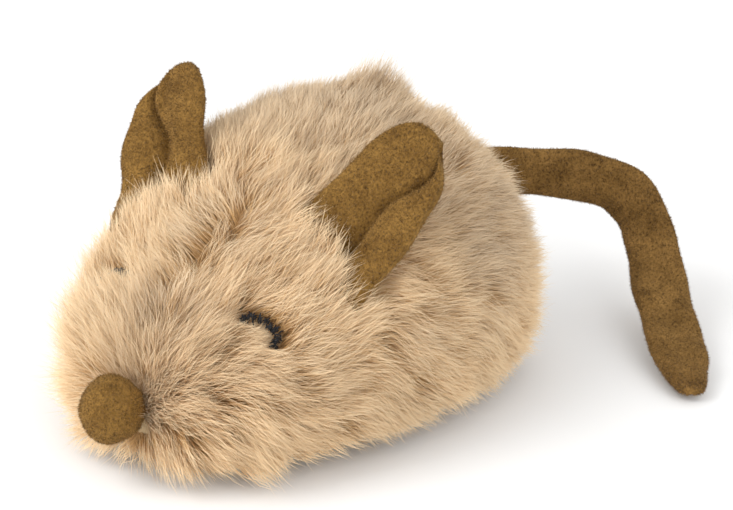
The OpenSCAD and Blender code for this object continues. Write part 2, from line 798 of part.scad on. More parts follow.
// ---- front wheel ---------------------------------------------------------
caster_at = [caster_y + caster_trail, caster_radius];
module caster_fork() {
  inner = caster_width / 2 + part_gap;
  color(moulding_grey) union() {
    post(0, caster_y, crown_z, stem_top, stem_radius);
    post(0, caster_y, crown_z, crown_top, inner + cheek);
    both_sides() across([0, 0], inner) linear_extrude(cheek) difference() {
      hull() {
        translate([caster_y - 1.6, crown_z]) square([3.2, crown_top - crown_z]);
        translate(caster_at) circle(r = caster_axle_radius + 1);
      }
      translate(caster_at) circle(r = caster_axle_radius);
    }
  }
}
module caster_axle() {
  end = caster_width / 2 + part_gap + cheek;
  color(steel) rod(caster_at, [-end, end], caster_axle_radius);
}
module caster_wheel() {
  half = caster_width / 2;
  bore = caster_axle_radius + running;
  color(rubber_black) across(caster_at, 0) rotate_extrude() polygon([
    [bore, -half], [caster_radius - 0.4, -half], [caster_radius, 0.4 - half],
    [caster_radius, half - 0.4], [caster_radius - 0.4, half], [bore, half]]);
}
module caster_washer() {
  color(steel) translate([0, caster_y, cup_top + 0.65]) difference() {
    cylinder(h = 0.4, r = stem_radius + 1.2);
    translate([0, 0, -1]) cylinder(h = 3, r = stem_radius + running);
  }
}
module caster_clip() {
  color(steel) translate([0, caster_y, cup_top + 1.1]) difference() {
    cylinder(h = 0.7, r = stem_radius + 1.1);
    translate([0, 0, -1]) cylinder(h = 3, r = stem_radius);
    translate([0, -stem_radius * 0.6, -1]) cube([10, stem_radius * 1.2, 3]);
  }
}

fur_skin();
wadding();
ear_left();
ear_right();
nose_cover();
nose_filling();
eye_left();
eye_right();
tail();
winding_eyelet();
housing();
base_plate();
housing_screws();
frame_plate_left();
frame_plate_right();
frame_pillars();
frame_screws();
winding_arbor();
winding_knob();
ratchet_wheel();
arbor_clip();
mainspring();
great_wheel();
click();
click_spring();
drive_axle();
axle_pinion();
axle_collars();
wheel_hub_left();
wheel_hub_right();
tyre_left();
tyre_right();
second_arbor();
second_pinion();
second_wheel();
governor_arbor();
governor_pinion();
governor_flywheel();
caster_fork();
caster_axle();
caster_wheel();
caster_washer();
caster_clip();
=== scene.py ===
"""Clockwork plush mouse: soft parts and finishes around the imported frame, in metres.

The nose points along -Y, the tail along +Y, and the mouse's left is +X."""
import json
import math

import bpy
import numpy as np
from bpy.props import FloatProperty, FloatVectorProperty, IntProperty, PointerProperty
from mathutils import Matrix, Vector


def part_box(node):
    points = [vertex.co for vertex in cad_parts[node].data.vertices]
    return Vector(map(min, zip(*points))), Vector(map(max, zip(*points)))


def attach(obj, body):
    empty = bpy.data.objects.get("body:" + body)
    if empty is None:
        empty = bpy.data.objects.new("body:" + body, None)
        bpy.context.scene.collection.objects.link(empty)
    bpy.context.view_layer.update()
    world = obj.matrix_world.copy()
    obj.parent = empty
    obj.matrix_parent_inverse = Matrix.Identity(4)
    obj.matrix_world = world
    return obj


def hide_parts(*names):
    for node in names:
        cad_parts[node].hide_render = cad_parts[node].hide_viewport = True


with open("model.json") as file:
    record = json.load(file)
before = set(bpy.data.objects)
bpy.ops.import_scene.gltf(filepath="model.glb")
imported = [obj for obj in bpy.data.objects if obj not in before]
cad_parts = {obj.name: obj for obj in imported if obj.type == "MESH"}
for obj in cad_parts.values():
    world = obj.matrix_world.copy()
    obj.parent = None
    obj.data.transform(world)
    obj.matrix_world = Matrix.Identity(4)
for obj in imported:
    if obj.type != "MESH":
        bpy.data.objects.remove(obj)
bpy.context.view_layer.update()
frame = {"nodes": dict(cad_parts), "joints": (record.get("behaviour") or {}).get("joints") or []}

bl_info = {
    "name": "Clockwork Mouse",
    "version": (1, 0, 0),
    "blender": (4, 5, 0),
    "location": "3D View > Sidebar > Clockwork Mouse",
    "description": "Builds a plush clockwork mouse around its frame",
    "category": "Object",
}

MM = 0.001

# ---- body lines, taken from the frame ------------------------------------
SKIN_LOW, SKIN_HIGH = (np.array(corner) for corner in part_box("fur_skin"))
END_SHARE = 0.004          # the skin's end rings stand this share inside its length
LENGTH = (SKIN_HIGH[1] - SKIN_LOW[1]) / (1 - 2 * END_SHARE)
SNOUT_Y = SKIN_HIGH[1] + END_SHARE * LENGTH - LENGTH
RUMP_Y = SNOUT_Y + LENGTH
HALF_WIDTH = SKIN_HIGH[0]
HEIGHT = SKIN_HIGH[2]
BELLY_Z = SKIN_LOW[2]
JOINTS = {joint["name"]: joint for joint in frame["joints"]}
KNOB_AXIS = np.array(JOINTS["winding_turn"]["pos_m"])
SWIVEL = np.array(JOINTS["caster_swivel"]["pos_m"])

# Body: shares of its length where it is widest, highest and where the snout rounds off,
# heights of the flank line, and powers of the section above the flank and of the rump
WIDEST, HIGHEST = 0.65, 0.75
SNOUT_SHARE, SNOUT_ROUND = 0.31, 0.08
SNOUT_LINE, FLANK_LINE = 11 * MM, 19 * MM
DOME_POWER, RUMP_POWER = 2.2, 8.0

# Opening in the belly, around the raised panel of the base plate
PANEL_TOP = 10 * MM
PANEL_SHARE, PANEL_INSET = 0.8, 7 * MM
PANEL_FRONT, PANEL_REAR = SWIVEL[1] - 10.5 * MM, RUMP_Y - 13 * MM


def round_off(q, power=2.0):
    """Quarter of a superellipse: the square root of one minus q to a power."""
    return np.sqrt(1 - np.clip(q, 0, 1) ** power)


def signed_power(x, power):
    return np.sign(x) * np.abs(x) ** power


def plan(s):
    """Half width of the body at share s of its length, as a share of the widest."""
    return np.where(s < WIDEST, round_off(1 - s / WIDEST),
                    round_off((s - WIDEST) / (1 - WIDEST), 3))


def body_points(s, a, inset, low_power=4.0):
    """Points of the body's surface, inset inwards: s runs from snout to rump and a is
    the angle round the section, 0 at the left flank and a quarter turn at the top.
    Each section is a superellipse, with one power above the flank line and one below."""
    rear = s >= HIGHEST
    behind = (s - HIGHEST) / (1 - HIGHEST)
    flank = SNOUT_LINE + (FLANK_LINE - SNOUT_LINE) * np.sin(math.pi / 2 * np.minimum(1, 2 * s))
    rise = np.sin(math.pi / 2 * np.minimum(1, s / HIGHEST))
    top = (HEIGHT - inset) * (SNOUT_SHARE + (1 - SNOUT_SHARE) * rise)
    front_open = round_off(1 - s / SNOUT_ROUND)
    up_open = np.where(rear, round_off(behind), front_open)
    low_open = np.where(rear, round_off(behind, RUMP_POWER), front_open)
    floor = BELLY_Z + 0.24 * inset
    upper = np.sin(a) >= 0
    reach = np.where(upper, (top - flank) * up_open, (flank - floor) * low_open)
    p = np.where(upper, 2 / DOME_POWER, 2 / low_power)
    x = (HALF_WIDTH - inset) * plan(s) * signed_power(np.cos(a), p)
    y = SNOUT_Y + inset + s * (LENGTH - 2 * inset)
    z = flank + reach * signed_power(np.sin(a), p)
    return np.stack(np.broadcast_arrays(x, y, z), -1)


def unit(v):
    """Vectors scaled to length one."""
    return v / np.maximum(np.linalg.norm(v, axis=-1, keepdims=True), 1e-12)


def body_frame(s, a, inset, low_power=4.0, step=1e-3):
    """Points of the body with the unit tangents towards the rump and round the section,
    the outward normal, and the two lengths by which s and a stretch the surface.
    Tangents are the differences between points a small step to either side."""
    point = body_points(s, a, inset, low_power)
    along = (body_points(s + step, a, inset, low_power)
             - body_points(s - step, a, inset, low_power)) / (2 * step)
    round_ = (body_points(s, a + step, inset, low_power)
              - body_points(s, a - step, inset, low_power)) / (2 * step)
    stretch = np.linalg.norm(along, axis=-1), np.linalg.norm(round_, axis=-1)
    along, round_ = unit(along), unit(round_)
    return point, along, round_, unit(np.cross(along, round_)), stretch


def panel_half(y):
    """Half width of the belly panel at a place along the body."""
    share = (y - SNOUT_Y - PANEL_INSET) / (LENGTH - 2 * PANEL_INSET)
    return PANEL_SHARE * (HALF_WIDTH - PANEL_INSET) * plan(share)


def in_opening(points, margin):
    """Which points lie under the body and within the belly opening grown by a margin."""
    x, y, z = points[..., 0], points[..., 1], points[..., 2]
    return ((np.abs(x) < panel_half(y) + margin) & (y > PANEL_FRONT - margin)
            & (y < PANEL_REAR + margin) & (z < PANEL_TOP))


def ripple(points, size, seed, waves=7):
    """A smooth random field of three components: sines of random direction and phase,
    summed, whose wavelength is about the given size."""
    rng = np.random.default_rng(seed)
    total = np.zeros(points.shape)
    for _ in range(waves):
        direction = unit(rng.normal(size=3)) * 2 * math.pi / (size * rng.uniform(0.7, 1.5))
        total += np.sin(points @ direction + rng.uniform(0, 6.3))[..., None] * rng.normal(size=3)
    return total / math.sqrt(waves)


# ---- meshes --------------------------------------------------------------
def mesh_piece(name, verts, faces, material, smooth=True, uv=None):
    """A mesh object from an array of points and an array of faces, all with as many
    corners. uv gives each point's place on the map named OFBake."""
    faces = np.asarray(faces)
    count, corners = faces.shape
    mesh = bpy.data.meshes.new(name)
    mesh.vertices.add(len(verts))
    mesh.vertices.foreach_set("co", np.asarray(verts, np.float32).ravel())
    mesh.loops.add(count * corners)
    mesh.loops.foreach_set("vertex_index", faces.ravel().astype(np.int32))
    mesh.polygons.add(count)
    mesh.polygons.foreach_set("loop_start", np.arange(0, count * corners, corners, dtype=np.int32))
    mesh.polygons.foreach_set("use_smooth", np.full(count, smooth))
    if uv is not None:
        layer = mesh.uv_layers.new(name="OFBake")
        layer.data.foreach_set("uv", np.asarray(uv, np.float32)[faces.ravel()].ravel())
    mesh.materials.append(material)
    mesh.update()
    mesh.validate()
    obj = bpy.data.objects.new(name, mesh)
    bpy.context.scene.collection.objects.link(obj)
    return obj


def grid_faces(rows, columns, wrap):
    """Quads between neighbouring rows of a grid, closed round its columns if wrap."""
    last = columns if wrap else columns - 1
    i, j = np.meshgrid(np.arange(rows - 1), np.arange(last), indexing="ij")
    a, b = i * columns + j, i * columns + (j + 1) % columns
    return np.stack([a, b, b + columns, a + columns], -1).reshape(-1, 4)


def closed_tube(rings):
    """Points and quads of a tube through rings of points, with its two ends closed by
    rings that shrink to their own middles."""
    first, last = rings[:1], rings[-1:]
    ends = [first.mean(1, keepdims=True) + (first - first.mean(1, keepdims=True)) * 1e-3,
            last.mean(1, keepdims=True) + (last - last.mean(1, keepdims=True)) * 1e-3]
    rings = np.concatenate([ends[0], rings, ends[1]])
    return rings.reshape(-1, 3), grid_faces(len(rings), rings.shape[1], True)


def outwards(verts, faces):
    """1 if a closed mesh's faces point outwards, else -1: the sign of its volume, which
    is summed over its faces as the height times the area of their pyramids."""
    a, b, c, d = (verts[faces[:, k]] for k in range(4))
    return 1 if (a * (np.cross(b, c) + np.cross(c, d))).sum() > 0 else -1


def closed_piece(name, rings, material):
    """A closed tube as an object whose faces point outwards, and their sign before."""
    verts, faces = closed_tube(rings)
    sign = outwards(verts, faces)
    return mesh_piece(name, verts, faces[:, ::sign], material), sign


def smooth_route(points, count):
    """A curve through listed points: a Catmull-Rom spline, even in its steps."""
    p = np.asarray(points, float)
    p = np.vstack([2 * p[0] - p[1], p, 2 * p[-1] - p[-2]])
    t = np.linspace(0, len(points) - 1 - 1e-9, count)
    i = t.astype(int)
    f = (t - i)[:, None]
    a, b, c, d = p[i], p[i + 1], p[i + 2], p[i + 3]
    return 0.5 * (2 * b + (c - a) * f + (2 * a - 5 * b + 4 * c - d) * f ** 2
                  + (3 * b - a - 3 * c + d) * f ** 3)


def stitches(name, starts, ends, lift, radius, material):
    """Short thread stitches as bowed tubes between pairs of points, one mesh."""
    t = np.linspace(0, 1, 6)
    line = (starts[:, None] * (1 - t)[None, :, None] + ends[:, None] * t[None, :, None]
            + lift[:, None] * np.sin(math.pi * t)[None, :, None])
    ahead = unit(ends - starts)
    side = unit(np.cross(ahead, lift))
    up = np.cross(side, ahead)
    ring = np.linspace(0, 2 * math.pi, 7)[:-1]
    fat = radius * np.array([0.45, 0.95, 1, 1, 0.95, 0.45])
    rings = (line[:, :, None] + fat[None, :, None, None] * (
        np.cos(ring)[None, None, :, None] * side[:, None, None]
        + np.sin(ring)[None, None, :, None] * up[:, None, None]))
    count = len(starts)
    faces = grid_faces(6, 6, True)
    offset = (np.arange(count) * 36)[:, None, None]
    return mesh_piece(name, rings.reshape(-1, 3), (faces[None] + offset).reshape(-1, 4), material)


def place(obj, body, slot, *nodes):
    """Rides a piece on a body and hides the nodes that it stands for; its slot is not used."""
    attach(obj, body)
    if nodes:
        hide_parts(*nodes)
    return obj


# ---- shaders -------------------------------------------------------------
class Value:
    """A shader socket that can be used in arithmetic: each step adds a Math node."""

    def __init__(self, look, socket):
        self.look, self.socket = look, socket

    def _math(self, operation, *terms):
        return self.look.node("ShaderNodeMath", {"operation": operation}, terms)

    def __add__(self, other):
        return self._math("ADD", self, other)

    def __mul__(self, other):
        return self._math("MULTIPLY", self, other)

    def __sub__(self, other):
        return self._math("SUBTRACT", self, other)

    def __rsub__(self, other):
        return self._math("SUBTRACT", other, self)

    def __pow__(self, other):
        return self._math("POWER", self, other)

    __radd__ = __add__
    __rmul__ = __mul__


class Look:
    """A material under construction, with one Principled shader."""

    def __init__(self, name, **fixed):
        self.material = bpy.data.materials.new(name)
        self.material.use_nodes = True
        self.tree = self.material.node_tree
        self.shader = self.tree.nodes["Principled BSDF"]
        for socket, value in fixed.items():
            self.shader.inputs[socket.replace("_", " ")].default_value = value
        self.place = self.node("ShaderNodeTexCoord", {}, {}, "Object")

    def node(self, kind, settings, inputs, output=0):
        """Adds a node: its settings first, then its sockets' values or links. A ramp's
        stops are the setting named stops, as (place, colour) pairs."""
        node = self.tree.nodes.new(kind)
        settings = dict(settings)
        stops = settings.pop("stops", None)
        for key, value in settings.items():
            setattr(node, key, value)
        if stops:
            ramp = node.color_ramp
            for at, colour in stops[1:-1]:
                ramp.elements.new(at)
            for element, (at, colour) in zip(ramp.elements, stops):
                element.position, element.color = at, (*colour, 1)
        pairs = inputs.items() if isinstance(inputs, dict) else enumerate(inputs)
        for key, value in pairs:
            if isinstance(value, Value):
                self.tree.links.new(value.socket, node.inputs[key])
            else:
                node.inputs[key].default_value = value
        return Value(self, node.outputs[output])

    def noise(self, scale, detail=2.0, rough=0.5, at=None, output=0):
        return self.node("ShaderNodeTexNoise", {}, {
            "Vector": at or self.place, "Scale": scale, "Detail": detail, "Roughness": rough}, output)

    def stretched(self, scale):
        """Object coordinates scaled by three different numbers."""
        return self.node("ShaderNodeMapping", {}, {"Vector": self.place, "Scale": scale})

    def ramp(self, value, stops):
        return self.node("ShaderNodeValToRGB", {"stops": stops}, {0: value})

    def mix(self, factor, a, b, blend="MIX"):
        """Mixes two colours, each a triple or a socket."""
        a, b = ((*c, 1) if isinstance(c, tuple) else c for c in (a, b))
        return self.node("ShaderNodeMix", {"data_type": "RGBA", "blend_type": blend},
                         {0: factor, 6: a, 7: b}, 2)

    def set(self, socket, value):
        self.tree.links.new(value.socket, self.shader.inputs[socket])
        return self

    def bump(self, height, distance, strength=1.0):
        normal = self.node("ShaderNodeBump", {}, {
            "Strength": strength, "Distance": distance, "Height": height})
        return self.set("Normal", normal)


# ---- finishes ------------------------------------------------------------
def fur_finish(settings):
    """Pile: across the map runs each strand's own tone, and up it from root to tip."""
    look = Look("fur_pile", Roughness=0.62, Specular_IOR_Level=0.25, Sheen_Weight=0.25,
                Sheen_Roughness=0.5, Sheen_Tint=(1.0, 0.9, 0.76, 1))
    uv = look.node("ShaderNodeUVMap", {"uv_map": "OFBake"}, {})
    split = look.node("ShaderNodeSeparateXYZ", {}, [uv])
    height = Value(look, split.socket.node.outputs[1])
    tip, back, root = (tuple(c) for c in (settings.tip_colour, settings.back_colour,
                                          settings.root_colour))
    tips = look.ramp(split, [(0.0, tuple(min(1, 1.12 * c) for c in tip)), (0.3, tip),
                            (0.75, back), (1.0, tuple(0.62 * c for c in back))])
    middle = tuple((r + 1.6 * t) / 2.6 for r, t in zip(root, tip))
    rooted = look.ramp(height, [(0.0, root), (0.42, middle), (0.75, (1, 1, 1)), (1.0, (1, 1, 1))])
    look.set("Base Color", look.mix(1.0, tips, rooted, "MULTIPLY"))
    return look.material


def backing_finish(settings):
    """Knitted backing under the pile: fine ribs and a mottled dye."""
    look = Look("fur_backing_knit", Roughness=0.9, Specular_IOR_Level=0.15)
    root = tuple(settings.root_colour)
    ribs = look.node("ShaderNodeTexWave", {"wave_type": "BANDS"}, {
        "Vector": look.place, "Scale": 900.0, "Distortion": 2.0, "Detail": 1.0})
    look.set("Base Color", look.mix(look.noise(400.0, 3.0), root, tuple(1.5 * c for c in root)))
    return look.bump(ribs, 0.1 * MM).material


def nap_finish(name, dark, light):
    """Raised fibres of suede: mixed lighter and darker ones."""
    look = Look(name, Roughness=0.8, Specular_IOR_Level=0.15, Sheen_Weight=0.15)
    shades = look.noise(2600.0, 1.0)
    look.set("Base Color", look.ramp(shades, [
        (0.38, tuple(0.7 * d for d in dark)), (0.62, tuple(1.15 * c for c in light))]))
    return look.material


def suede_finish(name, dark, light, scale=1.0):
    """Brushed suede: soft clouds of lighter and darker nap with short dark flecks, which are painted
    shade between its raised fibres.
    """
    look = Look(name, Roughness=0.92, Specular_IOR_Level=0.12, Sheen_Weight=0.22,
                Sheen_Roughness=0.45, Sheen_Tint=(0.62, 0.45, 0.2, 1))
    clouds = look.noise(170.0 * scale, 3.0, 0.6)
    nap = look.noise(1500.0 * scale, 3.0, 0.65)
    flecks = look.noise(1.0, 2.0, 0.6, look.stretched((2900 * scale, 1500 * scale, 2100 * scale)))
    dark, light = tuple(dark), tuple(light)
    base = look.ramp(clouds * 0.55 + nap * 0.45, [
        (0.34, dark), (0.5, tuple((d + l) / 2 for d, l in zip(dark, light))), (0.66, light)])
    # painted shade: the flecks darken the dye in short dashes, as shade between the raised fibres
    spots = look.ramp(flecks, [(0.32, (0.30, 0.27, 0.22)), (0.5, (1, 1, 1)), (1.0, (1, 1, 1))])
    look.set("Base Color", look.mix(0.8, base, spots, "MULTIPLY"))
    look.bump(nap * 0.6 + flecks * 0.4, 0.22 * MM)
    return look.material


def thread_finish(name, colour):
    """Twisted thread: fine slanted ply lines over a plain dye, the dye darkened in the grooves between
    plies as painted shade.
    """
    look = Look(name, Roughness=0.42, Specular_IOR_Level=0.5)
    ply = look.node("ShaderNodeTexWave", {"wave_type": "BANDS", "bands_direction": "DIAGONAL"}, {
        "Vector": look.place, "Scale": 1700.0, "Distortion": 1.5, "Detail": 1.0})
    colour = tuple(colour)
    # painted shade: the colour is halved where the ply bump is low, in the grooves between plies
    look.set("Base Color", look.mix(ply, tuple(0.5 * c for c in colour), colour))
    return look.bump(ply, 0.08 * MM).material


def fleece_finish():
    """Loose polyester fibre: white, matted and slightly clouded."""
    look = Look("polyester_fleece", Roughness=0.95, Specular_IOR_Level=0.1, Sheen_Weight=0.3)
    clouds = look.noise(260.0, 4.0, 0.7)
    look.set("Base Color", look.mix(clouds, (0.80, 0.80, 0.78), (0.95, 0.95, 0.94)))
    return look.bump(look.noise(900.0, 4.0, 0.8), 0.3 * MM).material


def plastic_finish(name, colour, rough, grain, mottling=0.12):
    """Moulded plastic: a fine spark-eroded grain and faint flow marks."""
    look = Look(name, Specular_IOR_Level=0.5)
    colour = tuple(colour)
    flow = look.noise(60.0, 3.0, 0.6)
    fine = look.noise(4200.0, 1.0)
    look.set("Base Color", look.mix(flow, tuple(c * (1 - mottling) for c in colour),
                                    tuple(min(1, c * (1 + mottling)) for c in colour)))
    look.set("Roughness", flow * 0.12 + fine * 0.08 + (rough - 0.1))
    return look.bump(fine, grain).material


def metal_finish(name, colour, tarnish, rough):
    """Rolled or turned metal: fine drawn lines, and a duller tarnish in patches."""
    look = Look(name, Metallic=1.0)
    lines = look.noise(1.0, 2.0, 0.6, look.stretched((6000.0, 500.0, 700.0)))
    patches = look.ramp(look.noise(300.0, 4.0, 0.65), [(0.42, (0, 0, 0)), (0.62, (1, 1, 1))])
    look.set("Base Color", look.mix(patches * 0.55, tuple(colour), tuple(tarnish)))
    look.set("Roughness", lines * 0.18 + patches * 0.14 + (rough - 0.08))
    return look.bump(lines, 0.02 * MM).material


def rubber_finish(name, colour):
    """Moulded rubber: matt, dusty in patches, with fine pitting."""
    look = Look(name, Specular_IOR_Level=0.35)
    dust = look.noise(240.0, 4.0, 0.7)
    look.set("Base Color", look.mix(dust, tuple(colour), tuple(2.6 * c for c in colour)))
    look.set("Roughness", dust * 0.2 + 0.66)
    return look.bump(look.noise(2400.0, 2.0), 0.05 * MM).material


# ---- settings ------------------------------------------------------------
def colour(name, description, value):
    """A colour setting."""
    return FloatVectorProperty(name=name, description=description, default=value,
                               subtype="COLOR", size=3, min=0.0, max=1.0)


def length(name, description, value):
    """A length setting, in metres."""
    return FloatProperty(name=name, description=description, default=value, min=0.0,
                         precision=5, unit="LENGTH", subtype="DISTANCE")


class MousePileSettings(bpy.types.PropertyGroup):
    clumps: IntProperty(name="Tufts", description="Tufts of pile over the whole body",
                        default=5600, min=100, max=8000)
    strands: IntProperty(name="Strands", description="Strands in each tuft",
                         default=46, min=1, max=60)
    strand_length: length("Pile length", "Length of a strand on the head", 11 * MM)
    back_length: length("Back pile length", "Length of a strand on the back", 7.5 * MM)
    strand_width: length("Strand width", "Width of a strand at its root", 0.112 * MM)
    pile_depth: length("Pile depth", "Depth of the backing under the fur's surface", 5.5 * MM)
    tip_colour: colour("Tips", "Dye of the pile on the head", (0.82, 0.63, 0.40))
    back_colour: colour("Back", "Dye of the pile on the back", (0.64, 0.50, 0.345))
    root_colour: colour("Roots", "Dye of the roots and the backing", (0.50, 0.37, 0.21))


class MouseTrimSettings(bpy.types.PropertyGroup):
    suede_dark: colour("Suede, dark", "Dark nap of the ears", (0.112, 0.054, 0.011))
    suede_light: colour("Suede, light", "Light nap of the ears", (0.30, 0.165, 0.042))
    tail_dark: colour("Tail, dark", "Dark nap of the tail", (0.096, 0.048, 0.011))
    tail_light: colour("Tail, light", "Light nap of the tail", (0.29, 0.160, 0.048))
    thread_colour: colour("Eye thread", "Dye of the eyes' thread", (0.014, 0.015, 0.018))
    nap_length: length("Nap length", "Length of the suede's raised fibres", 0.6 * MM)
    crease: length("Ear crease", "Depth of the fold down each ear", 2.0 * MM)


class MouseMovementSettings(bpy.types.PropertyGroup):
    shell_colour: colour("Housing", "Colour of the moulded housing", (0.060, 0.062, 0.068))
    knob_colour: colour("Knob", "Colour of the winding knob", (0.68, 0.62, 0.48))
    brass_colour: colour("Brass", "Colour of the brass wheels", (0.78, 0.56, 0.22))
    steel_colour: colour("Steel", "Colour of the steel arbors", (0.56, 0.57, 0.58))
    spring_colour: colour("Spring steel", "Colour of the blued spring", (0.12, 0.15, 0.24))
    tyre_colour: colour("Tyres", "Colour of the rubber tyres", (0.018, 0.018, 0.018))


class MouseStageSettings(bpy.types.PropertyGroup):
    floor_colour: colour("Floor", "Colour of the studio floor", (0.93, 0.93, 0.925))
    key_power: FloatProperty(name="Key light", description="Power of the main soft light",
                             default=2.2, min=0.0, unit="POWER")
    fill_power: FloatProperty(name="Fill light", description="Power of the second soft light",
                              default=1.2, min=0.0, unit="POWER")
    low_power: FloatProperty(name="Low light", description="Power of the low soft light in front",
                             default=1.7, min=0.0, unit="POWER")
    lens: FloatProperty(name="Focal length", description="Focal length of the camera",
                        default=108.0, min=10.0, unit="CAMERA")


# ---- fur -----------------------------------------------------------------
def smooth_step(x, low, high):
    """0 below low, 1 above high, and three t squared less two t cubed between."""
    t = np.clip((x - low) / (high - low), 0, 1)
    return t * t * (3 - 2 * t)


MIRROR = np.array([-1, 1, 1])
BACKING_POWER = 7.0        # section of the backing under its flank line
STRAND_STEPS = np.array([0, 0.33, 0.68, 1.0])

NOSE_LOW, NOSE_HIGH = (np.array(corner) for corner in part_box("nose_cover"))
NOSE = (NOSE_LOW + NOSE_HIGH) / 2
NOSE_RADIUS = (NOSE_HIGH[0] - NOSE_LOW[0]) / 2
EYELET_LOW, EYELET_HIGH = (np.array(corner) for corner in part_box("winding_eyelet"))
KNOB_LOW, KNOB_HIGH = (np.array(corner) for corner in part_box("winding_knob"))
EYELET_RADIUS = (EYELET_HIGH[1] - EYELET_LOW[1]) / 2
KNOB_RADIUS = (KNOB_HIGH[1] - KNOB_LOW[1]) / 2

# An ear's plane: its root on the head, and the directions of its width and length
EAR_ROOT = body_points(np.float64(0.384), np.radians(53), 2.5 * MM)
EAR_ACROSS = np.array([0.82, -0.22, -0.52])
EAR_UP = np.array([0.39, 0.55, 0.74])
EAR_NORMAL = unit(np.cross(EAR_ACROSS, EAR_UP))
EAR_LENGTH, EAR_SUNK, EAR_HALF = 31 * MM, 4 * MM, 10 * MM
EAR_THICKNESS, EAR_FOLD = 2.6 * MM, 0.22
CROWN = body_points(np.float64(0.81), np.radians(93), 5.5 * MM)   # a standing tuft


def eye_route(count, inset):
    """Points along the left eye's arch, inset in the fur: half an ellipse over the head's
    surface."""
    t = np.linspace(0, math.pi, count)
    s = 0.187 + 0.02 * np.sin(t)
    a = np.radians(51.5 + 10.5 * np.cos(t))
    return body_frame(s, a, inset)


def comb(point, along, normal):
    """Lay of the pile, tangent to the body: a pull to the rump, one down the flanks, one
    to either side of a winding parting on the face, one away from the nose, one outwards
    under the belly, and a smooth random field."""
    x, y = point[:, 0], point[:, 1]
    face = 1 - smooth_step(y, -38 * MM, -22 * MM)
    parting = 1.6 * MM * np.sin(y / (5.2 * MM)) + 0.5 * MM
    aside = face * np.exp(-((x - parting) / (13 * MM)) ** 2) * np.tanh((x - parting) / (0.9 * MM))
    gap = point - NOSE
    near = np.exp(-(np.linalg.norm(gap, axis=-1) / (16 * MM)) ** 2)
    under = smooth_step(-normal[:, 2], 0.35, 0.8)
    steep = smooth_step(np.abs(normal[:, 0]), 0.3, 0.9) * (1 - under)
    middle = np.array([0, (PANEL_FRONT + PANEL_REAR) / 2, 0])
    lay = along * (1 - 0.8 * under)[:, None] + unit(gap) * (2.2 * near)[:, None]
    lay = lay + np.array([0, 0, -1.0]) * (0.55 * steep)[:, None]
    lay = lay + np.array([1.0, 0, 0]) * (1.25 * aside)[:, None]
    lay = lay + unit((point - middle) * [1, 0.6, 0]) * (1.2 * under)[:, None]
    lay = lay + 0.30 * ripple(point, 22 * MM, 3) + 0.22 * ripple(point, 8 * MM, 4)
    return unit(lay - (lay * normal).sum(-1, keepdims=True) * normal)


def pile_roots(settings, rng):
    """Tufts spread evenly over the body, and the strands of each: candidates are kept
    in proportion to the area that a step of s and of a covers there."""
    s = rng.uniform(0.004, 0.996, settings.clumps * 12)
    a = rng.uniform(0, 2 * math.pi, len(s))
    area = np.prod(body_frame(s, a, settings.pile_depth, BACKING_POWER)[4], axis=0)
    under = np.where(np.sin(a) < -0.8, 0.75, 1.0)
    gap = np.linalg.norm(body_points(s, a, settings.pile_depth, BACKING_POWER) - NOSE, axis=-1)
    weight = area * under * (1 + 1.6 * np.exp(-(gap / (9 * MM)) ** 2))
    kept = rng.choice(len(s), settings.clumps, replace=False, p=weight / weight.sum())
    tuft = np.repeat(np.arange(settings.clumps), settings.strands)
    s, a = s[kept], a[kept]
    stretch = body_frame(s, a, settings.pile_depth, BACKING_POWER)[4]
    spread = rng.normal(size=(2, len(tuft))) * 1.15 * MM
    strand_s = s[tuft] + spread[0] / np.maximum(stretch[0][tuft], 0.02)
    strand_a = a[tuft] + spread[1] / np.maximum(stretch[1][tuft], 0.006)
    return tuft, s, a, np.clip(strand_s, 0.003, 0.997), strand_a


def ear_side(points):
    """Place of points against the nearer ear's leaf: height over its middle layer,
    and whether they lie within its outline, grown a little."""
    near = points * np.where(points[..., :1] < 0, MIRROR, 1) - EAR_ROOT
    over = near @ EAR_NORMAL + EAR_THICKNESS / 2
    across, up = near @ unit(EAR_ACROSS), near @ EAR_UP
    inside = (np.abs(across) < EAR_HALF + 1.5 * MM) & (up > -EAR_SUNK - 5 * MM) & (up < EAR_LENGTH)
    return over, inside


def clear_of_parts(path, root):
    """Moves the points of strands off the nose, the ears, the knob and the floor. path
    holds a row of points for each strand, and root the first of them."""
    gap = path - NOSE
    reach = np.linalg.norm(gap, axis=-1, keepdims=True)
    path = np.where(reach < NOSE_RADIUS + 0.35 * MM,
                    NOSE + gap / np.maximum(reach, 1e-9) * (NOSE_RADIUS + 0.35 * MM), path)
    side = np.sign(ear_side(root)[0])[:, None]
    over, inside = ear_side(path)
    fold = EAR_THICKNESS / 2 + np.where(side > 0, 1.7, 0.4) * MM
    short = np.where(inside, np.maximum(0, fold - over * side), 0)
    flip = np.where(path[..., :1] < 0, MIRROR, 1)
    path = path + (short * side)[..., None] * EAR_NORMAL * flip
    reach = np.hypot(path[..., 1] - KNOB_AXIS[1], path[..., 2] - KNOB_AXIS[2])
    limit = np.where(reach < EYELET_RADIUS + 0.5 * MM, EYELET_LOW[0] + 1.2 * MM,
                     np.where(reach < KNOB_RADIUS + 2 * MM, KNOB_HIGH[0] + 0.4 * MM, -1.0))
    path[..., 0] = np.maximum(path[..., 0], limit)
    path[..., 2] = np.maximum(path[..., 2], 0.5 * MM)
    return path


